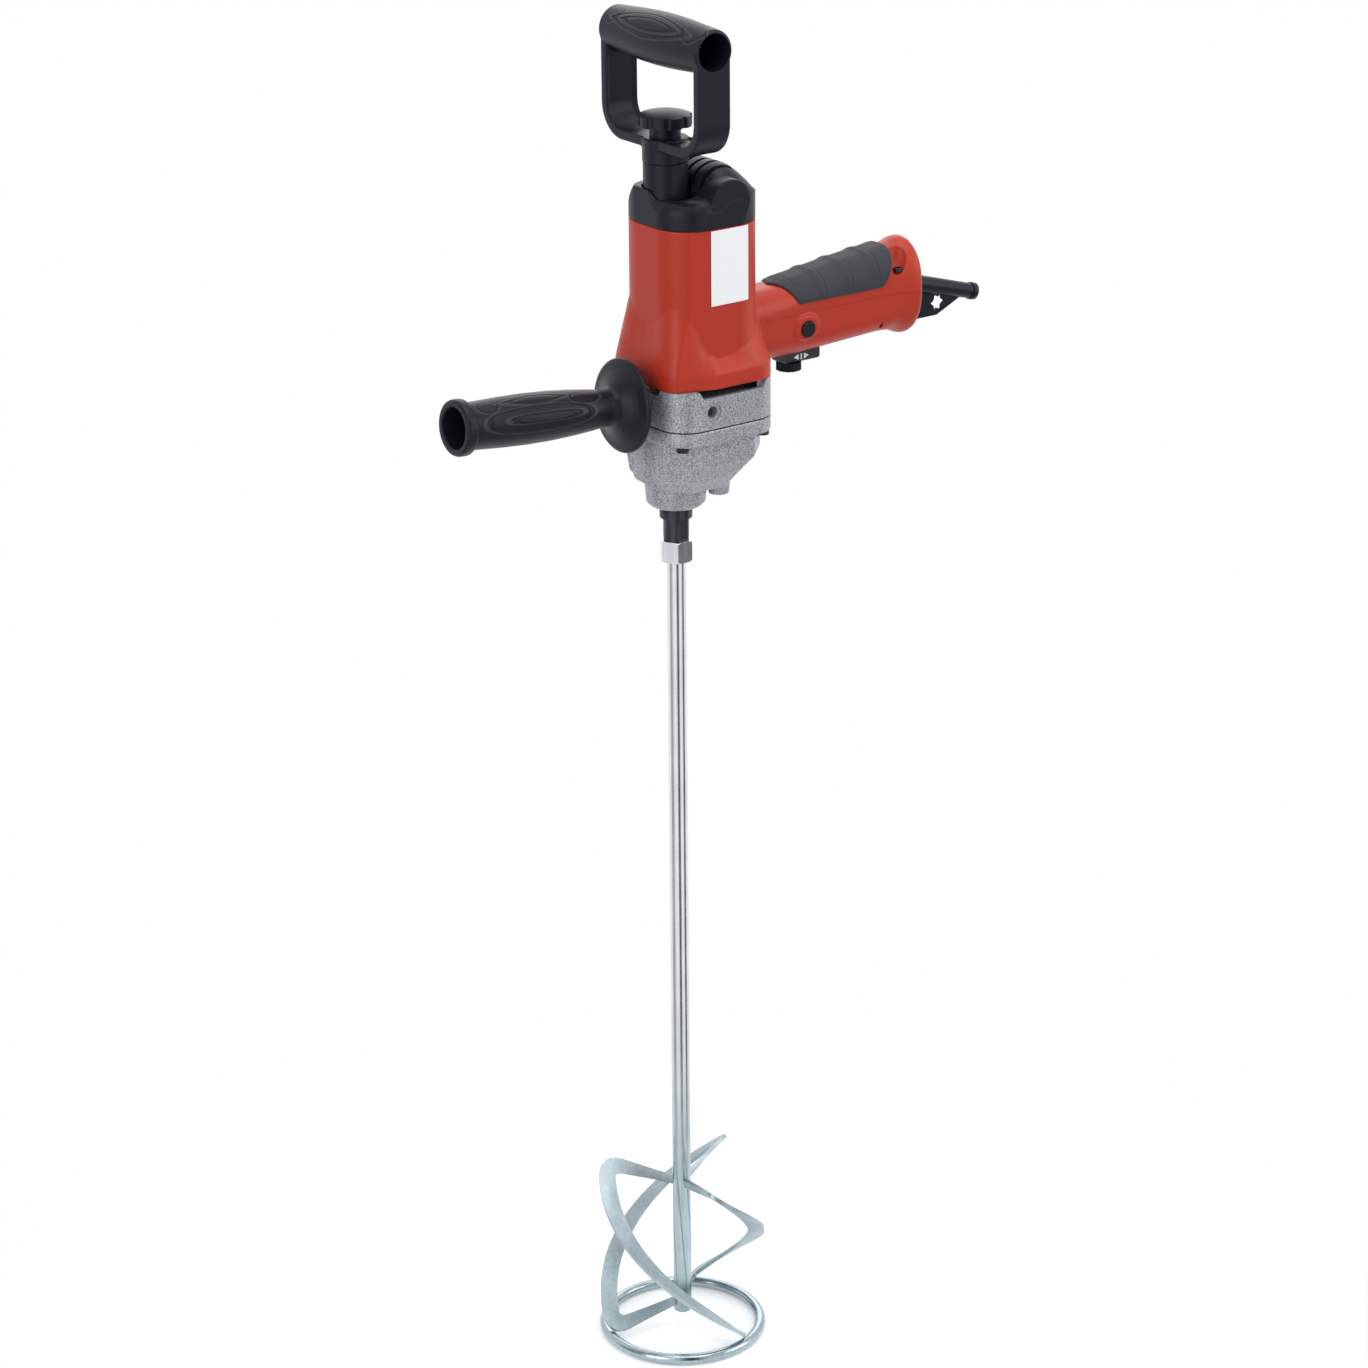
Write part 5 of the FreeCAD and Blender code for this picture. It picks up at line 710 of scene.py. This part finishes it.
cover.data = body.data.copy()
bpy.context.scene.collection.objects.link(cover)
carve(body, block(SEAM_FRONT, 230, -60, 60, SEAM_LOW, 860))
finish_piece("housing_piece", "drill_body", RED, ["motor_housing"], 40)

# Handle cover: the rear handle's upper half in the same red nylon, laid on the lower half along a
# level seam and held by screws that stand in two scoops by the guard.
carve(cover, block(SEAM_FRONT + 0.1, 230, -60, 60, SEAM_HIGH, 860), "INTERSECT")
finish_piece("handle_cover_piece", "drill_body", RED, ["handle_cover"], 40)
soften("handle_screws", "drill_body", STEEL, 0.2)

# Soft pad: thermoplastic rubber moulded over the handle cover's top, with four grooves across it
# for the hand to hold by.
PAD = black_paint("soft_rubber", None, (0.036, 0.038, 0.047), 0.6, 0.14 * MM)
PAD_FRONT = 83
PAD_BACK = 177
PAD_LOW = 814
PAD_LIFT = 7
PAD_SWELL = 0.7
PAD_SKIN = 1.6 * MM
PAD_STEPS = [95.5, 120, 144.5, 169]


def pad_point(around, along):
    """Outer face of the pad, from one lower edge over the top to the other."""
    side = 2 * around - 1
    lower = PAD_LOW + PAD_LIFT * max(0, (along - 0.93) / 0.07) ** 2
    front = PAD_FRONT + 14 * abs(side) ** 1.3
    back = PAD_BACK + 9 * (1 - abs(side) ** 2)
    x = front + (back - front) * along
    half_w, low, top, corner = between(HANDLE_TABLE, x)
    middle = (low + top) / 2
    start = math.atan2(lower - middle, half_w)
    angle = start + (math.pi - 2 * start) * (1 - around)
    crown = smooth((math.sin(angle) - 0.45) / 0.3)
    swell = PAD_SWELL
    for step in PAD_STEPS:
        gap = x - step
        swell -= 1.5 * crown * math.exp(-(gap / 0.6) ** 2)
        swell += 0.9 * smooth(crown) * math.exp(-((gap + 3) / 3.4) ** 2)
    edge = min(along, 1 - along, around * 0.6, (1 - around) * 0.6)
    swell = swell * smooth(along / 0.16) - 0.8 * (1 - smooth(edge / 0.014))
    across, up = rounded(half_w + swell, (top - low) / 2 + swell, corner + swell, angle)
    return Vector((x, across, middle + up)) * MM


pad = lay_out(110, 340, pad_point)
thicken(pad, PAD_SKIN, -1)
finish_piece("pad_piece", "drill_body", PAD, ["grip_pad"], 50)

# Name plate: thin white plastic sheet, cut to an oblong and stuck on the column's side below the
# end cap, where it follows the column's curve.
PLATE = Paint("white_sheet", (0.93, 0.93, 0.93), 0.35)
PLATE.set(
    base_color=PLATE.blend(PLATE.noise(300, 2), (0.92, 0.92, 0.92), (0.95, 0.95, 0.95)),
    roughness=PLATE.noise(90) * 0.1 + 0.3)
soften("name_plate", "drill_body", PLATE.material, 0.15)

# Trigger with its speed dial, and the lock button: black nylon, sliding and turning in the rear
# handle. A pad-printed pair of arrows on the trigger shows the dial's two ways.
ARROW_Z = 769.5 * MM
ARROW_TIPS = [(101 * MM, 1), (115 * MM, -1)]
ARROW_BAR = 108 * MM
PRINT_WHITE = (0.75, 0.75, 0.75)


def arrow_print(paint):
    """White arrow heads and a bar on the trigger's side."""
    drop = abs(paint.z - ARROW_Z)
    print_area = 1 - paint.y.rise(-7.8 * MM, -7.7 * MM)
    heads = 0
    for tip, way in ARROW_TIPS:
        run = (paint.x - tip) * way
        wedge = (run * 0.5 - drop).rise(0, 0.1 * MM) * (1 - run.rise(4.5 * MM, 4.7 * MM))
        heads = wedge + heads
    bar = (1 - abs(paint.x - ARROW_BAR).rise(0.5 * MM, 0.7 * MM)) * (1 - drop.rise(2.2 * MM, 2.4 * MM))
    return (heads + bar) * print_area


def trigger_paint():
    """Black nylon with the printed arrows."""
    paint = Paint("trigger_nylon", (0.0115, 0.0125, 0.0165), 0.44)
    fine = paint.noise(2200, 2)
    paint.set(
        base_color=paint.blend(arrow_print(paint), (0.0125, 0.0135, 0.0175), PRINT_WHITE),
        roughness=fine * 0.2 + 0.34)
    paint.grain(fine, 0.12 * MM, 0.6)
    return paint.material


soften("trigger", "trigger_lever", trigger_paint(), 0.8)
soften("speed_dial", "dial", BLACK, 0.3)
soften("lock_button", "lock", BLACK, 0.4)

# Strain relief: soft black rubber, a drooping sleeve held in the handle's end, with a wing below it
# that stores the key.
soften("strain_relief", "drill_body", BLACK, 0.6)

# End cap: black nylon bowl over the brush gear, with a cup round the post, a round brush cover on
# each side and a vented hump behind; four screws come up into it through the housing's top.
CAP_LOW = 886
BOWL_TOP = 906
POST_X = -6.5
HUMP_TABLE = [
    (886, 7, 58, 42, 12), (899, 7, 57.5, 42, 14), (904, 7, 54.4, 40.2, 18), (908, 7, 51.2, 38, 20.5),
    (912, 7.6, 48.5, 35.5, 20), (916, 8.6, 45, 32, 18), (919, 10, 42, 29.5, 15.6),
    (921.5, 12, 39, 26.5, 13.2), (923.5, 14.6, 36.4, 24, 10.6), (925.2, 18, 33.6, 20, 7.6),
    (926.4, 21.4, 30.4, 15, 4.4), (927, 24.6, 27.4, 9, 1.3)]
VENTS = 5
VENT_FIRST = -21
VENT_STEP = 9.5
VENT_HALF = 1.7


def hump_point(around, along):
    """A loaf with a steep front, falling away at the back and at both ends."""
    z = CAP_LOW + (HUMP_TABLE[-1][0] - CAP_LOW) * along
    front, back, half_h, corner = between(HUMP_TABLE, z)
    across, deep = rounded((back - front) / 2, half_h, corner, 2 * math.pi * around)
    return (front + back) / 2 + across, deep, z


def cap_bowl():
    """The column's form carried on, with a rounded shoulder."""
    return tower([
        (CAP_LOW, COLUMN_HALF, COLUMN_CORNER, MOTOR_X), (BOWL_TOP - 9, COLUMN_HALF, COLUMN_CORNER, MOTOR_X),
        (BOWL_TOP - 6, 39.5, 27.5, MOTOR_X), (BOWL_TOP - 3, 37.8, 26, MOTOR_X),
        (BOWL_TOP - 1, 35.2, 24, MOTOR_X), (BOWL_TOP, 32, 22, MOTOR_X)])


def column():
    """The column's outline, taller than the cap."""
    return tower([(880, COLUMN_HALF, COLUMN_CORNER, MOTOR_X), (940, COLUMN_HALF, COLUMN_CORNER, MOTOR_X)])


hump = skin(200, 120, hump_point)
carve(hump, column(), "INTERSECT")
cup = tower([(898, 23, 23, -9.5), (912, 16.5, 16.5, -9.5)], 6)
carve(cup, column(), "INTERSECT")
brush_covers = peg((21.5, 0, 903), (0, 1, 0), 16.5, 79.6)
cap = mould([cap_bowl(), hump, cup, brush_covers], 0.72, 2)
trench = tower([(900, 22.5, 22.5, POST_X), (930, 24, 24, POST_X)])
carve(trench, block(-14, 6, -40, -2, 890, 940), "INTERSECT")
carve(cap, trench)
carve(cap, drum(17.4, 900, 930, POST_X))
for number in range(VENTS):
    y = VENT_FIRST + VENT_STEP * number
    carve(cap, block(3, 35, y - VENT_HALF, y + VENT_HALF, 913 - 0.006 * y * y, 935))
finish_piece("end_cap_piece", "drill_body", BLACK, ["end_cap"], 40)

# Post: black nylon sleeve, set in the end cap's cup; it carries the spade handle and takes its
# thrust into the cap.
soften("handle_post", "drill_body", BLACK, 0.7)

# Spade handle: black nylon hoop moulded in one piece, a band with a hollow barrel grip across its
# top; it swings round the post and is clamped there by the star knob.
BARREL_Z = 1015
BARREL_HALF_L = 58
BARREL_BORE_R = 13.3
BAND_LOW = 940
BAND_BEND = 24
BEND_STEPS = 24
BAND_SECTION = [Vector(spot) for spot in [
    (0, -13.5), (0, 13.5), (7, 13.5), (7, 11.4), (5.4, 10.6), (5.4, -10.6), (7, -11.4), (7, -13.5),
    (0, -13.5)]]
SPADE_PANEL_R = 17.5 * MM
SPADE_PANEL_TURN = math.radians(52)
SPADE_PANELS_ABOVE = 1000 * MM
SPADE_PANELS = [
    (0, 1 * MM, 40 * MM, 8.5 * MM, 1.5), (0, 1 * MM, 28 * MM, 4.2 * MM, 1.5),
    (46 * MM, 6 * MM, 11 * MM, 10 * MM, 1.6), (-46 * MM, 6 * MM, 11 * MM, 10 * MM, 1.6)]


def spade_lines(paint):
    """Pointed panels pressed into the barrel grip."""
    turn = (paint.x - POST_X * MM).math("ARCTAN2", paint.z - BARREL_Z * MM)
    across = (turn + SPADE_PANEL_TURN) * SPADE_PANEL_R
    on_grip = (paint.z - SPADE_PANELS_ABOVE).rise(0, 1 * MM)
    return [line * on_grip for line in panel_rims(paint.y, across, SPADE_PANELS)]


def band_path():
    """The band's outer line from one grip end round the bottom to the other."""
    right = [Vector((BARREL_HALF_L, BARREL_Z))]
    for step in range(BEND_STEPS + 1):
        turn = math.pi / 2 * step / BEND_STEPS
        right.append(Vector((
            BARREL_HALF_L - BAND_BEND * (1 - math.cos(turn)), BAND_LOW + BAND_BEND * (1 - math.sin(turn)))))
    return right + [Vector((-spot.x, spot.y)) for spot in reversed(right)]


BAND_PATH = band_path()


def band_point(around, along):
    """The band's section swept along its path."""
    spot, way = along_line(BAND_PATH, along)
    cut = along_line(BAND_SECTION, around)[0]
    spot = spot + Vector((way.y, -way.x)) * cut.x
    return POST_X + cut.y, spot.x, spot.y


def barrel_point(around, along):
    """The grip, thickest in the middle, with its ends rounded in."""
    y = BARREL_HALF_L - 2 * BARREL_HALF_L * along
    reach = 15.6 + 2.9 * math.cos(math.pi / 2 * y / BARREL_HALF_L) ** 1.2
    reach -= 1.2 * smooth((abs(y) - 56.6) / 1.4)
    angle = 2 * math.pi * around
    return POST_X + reach * math.sin(angle), y, BARREL_Z + reach * math.cos(angle)


hub = drum(16.4, 929.6, 947, POST_X)
spade = mould([skin(120, 240, band_point), skin(120, 160, barrel_point), hub], 0.75, 4)
for side in (-1, 1):
    carve(spade, peg((POST_X, side * 36, BARREL_Z), (0, 1, 0), BARREL_BORE_R, 46))
carve(spade, drum(5.4, 925, 950, POST_X))
finish_piece(
    "spade_piece", "spade_handle", black_paint("spade_nylon", spade_lines), ["d_handle"], 40)

# Star knob: black nylon moulded on a steel stud, which screws into a nut held in the post's foot;
# it clamps the spade handle at the angle that suits the work.
soften("star_knob", "knob", BLACK, 0.8)

# Inner works: gears, shafts, bearings, motor and switch, out of sight behind the castings.
# They keep their machined CAD shapes, each with its own metal or moulding finish.


def plain_paint(name, colour, roughness, metallic):
    """An even finish with a fine grain."""
    paint = Paint(name, colour, roughness, metallic)
    fine = paint.noise(400, 3)
    dark = tuple(c * 0.85 for c in colour)
    light = tuple(min(c * 1.1, 1) for c in colour)
    paint.set(
        base_color=paint.blend(fine.rise(0.3, 0.7), dark, light),
        roughness=fine * 0.15 + (roughness - 0.07))
    paint.grain(fine, 0.02 * MM, 0.4)
    return paint.material


SLOTS = {
    "housing_red": RED,
    "black_plastic": BLACK,
    "soft_grip": PAD,
    "cast_grey": CAST,
    "zinc_steel": ZINC,
    "dark_steel": STEEL,
    "bare_steel": plain_paint("bare_steel", (0.5, 0.5, 0.5), 0.3, 1.0),
    "bronze": plain_paint("bronze", (0.45, 0.27, 0.1), 0.4, 1.0),
    "copper": plain_paint("copper", (0.5, 0.2, 0.08), 0.4, 1.0),
    "core_steel": plain_paint("core_steel", (0.3, 0.3, 0.31), 0.5, 1.0),
    "carbon": plain_paint("carbon", (0.02, 0.02, 0.02), 0.7, 0.0),
    "label_white": PLATE.material,
    "gasket_grey": plain_paint("gasket", (0.03, 0.03, 0.03), 0.8, 0.0)}
for entry in frame["record"]["subparts"]:
    node = frame["nodes"][entry["node"]]
    node.data.materials.clear()
    node.data.materials.append(SLOTS[entry["material_slot"]])

# Studio: a pale floor that fades out, four broad soft lights, and a white surround with dark
# upright flags that only reflections see.
FLOOR_FADE = (0.12, 0.55)
bpy.ops.mesh.primitive_plane_add(size=30, location=(0, 0, 0))
floor = bpy.context.active_object
floor.name = "floor"
floor_paint = Paint("floor", (0.9, 0.9, 0.9), 0.9, shine=0)
away = (floor_paint.x * floor_paint.x + floor_paint.y * floor_paint.y).math("SQRT")
floor_tone = floor_paint.noise(3).rise(0.2, 0.8)
floor_paint.set(
    base_color=floor_paint.blend(floor_tone, (0.89, 0.89, 0.89), (0.91, 0.91, 0.91)),
    alpha=1 - away.rise(*FLOOR_FADE))
floor_paint.shader.inputs["Emission Color"].default_value = (1, 1, 1, 1)
floor_paint.shader.inputs["Emission Strength"].default_value = 0.3
floor.data.materials.append(floor_paint.material)


class Surround(Paint):
    """The world's nodes, joined by the same sums as a paint's."""

    def __init__(self, name):
        self.world = bpy.data.worlds.new(name)
        self.world.use_nodes = True
        self.tree = self.world.node_tree
        self.shader = self.tree.nodes["Background"]
        look = self.node("ShaderNodeTexCoord").outputs["Generated"]
        level = self.node("ShaderNodeVectorMath", {"operation": "MULTIPLY"}, look, (1, 1, 0)).outputs[0]
        self.place = self.node("ShaderNodeVectorMath", {"operation": "NORMALIZE"}, level).outputs[0]

    def flag(self, azimuth, narrow, wide, depth):
        """How much a dark upright flag hides of the white in a direction."""
        middle = (math.cos(math.radians(azimuth)), math.sin(math.radians(azimuth)), 0)
        facing = self.node("ShaderNodeVectorMath", {"operation": "DOT_PRODUCT"}, self.place, middle)
        towards = Value(self, facing.outputs["Value"])
        return towards.rise(math.cos(math.radians(wide)), math.cos(math.radians(narrow))) * depth


FLAGS = [(-114, 7, 18, 0.93), (-46, 7, 18, 0.93), (162, 9, 28, 0.58)]
AMBIENT = (0.66, 0.68, 0.71, 1)
AMBIENT_LEVEL = 0.86
studio = Surround("studio")
bpy.context.scene.world = studio.world
rays = studio.node("ShaderNodeLightPath").outputs
camera_ray, glossy_ray, clear_ray = [
    Value(studio, rays[name]) for name in ("Is Camera Ray", "Is Glossy Ray", "Is Transmission Ray")]
studio.shader.inputs["Color"].default_value = AMBIENT
studio.shader.inputs["Strength"].default_value = AMBIENT_LEVEL
hidden = sum(studio.flag(*flag) for flag in FLAGS)
white = studio.node("ShaderNodeBackground", {}, (1, 1, 1, 1), 1 - hidden * (1 - camera_ray))
seen = (camera_ray + glossy_ray + clear_ray).math("MINIMUM", 1)
choose = studio.node("ShaderNodeMixShader", {}, seen, studio.shader.outputs[0], white.outputs[0])
studio.link(choose.outputs[0], studio.tree.nodes["World Output"].inputs[0])


def soft_light(name, place, target, size, power):
    """A broad rectangular lamp turned to a target."""
    bpy.ops.object.light_add(type="AREA", location=place)
    lamp = bpy.context.active_object
    lamp.name = name
    lamp.data.shape = "RECTANGLE"
    lamp.data.size, lamp.data.size_y = size
    lamp.data.energy = power
    lamp.rotation_euler = (Vector(target) - Vector(place)).to_track_quat("-Z", "Y").to_euler()


soft_light("left", (-2.8, -0.9, 1.6), (0, 0, 0.6), (1.6, 2.4), 25)
soft_light("right", (2.3, -2.2, 1.8), (0, 0, 0.6), (1.8, 2.4), 34)
soft_light("top", (0.2, -0.4, 3.2), (0, 0, 0.8), (2.2, 2.2), 34)
soft_light("back", (1.7, 2.3, 2.0), (0, 0, 0.85), (2.4, 1.6), 14)

CAMERA_PLACE = (-1.5829, -2.1787, 1.5653)
CAMERA_AZIMUTH = -36.102
CAMERA_TILT = 69.1
CAMERA_ROLL = -0.45
bpy.ops.object.camera_add()
camera = bpy.context.active_object
bpy.context.scene.camera = camera
camera.data.sensor_width = 36
camera.data.lens = 103.26
camera.data.clip_end = 50
azimuth = Matrix.Rotation(math.radians(CAMERA_AZIMUTH), 4, "Z")
tilt = Matrix.Rotation(math.radians(CAMERA_TILT), 4, "X")
roll = Matrix.Rotation(math.radians(CAMERA_ROLL), 4, "Z")
camera.matrix_world = Matrix.Translation(CAMERA_PLACE) @ (azimuth @ tilt) @ roll
bpy.context.scene.view_settings.view_transform = "Standard"
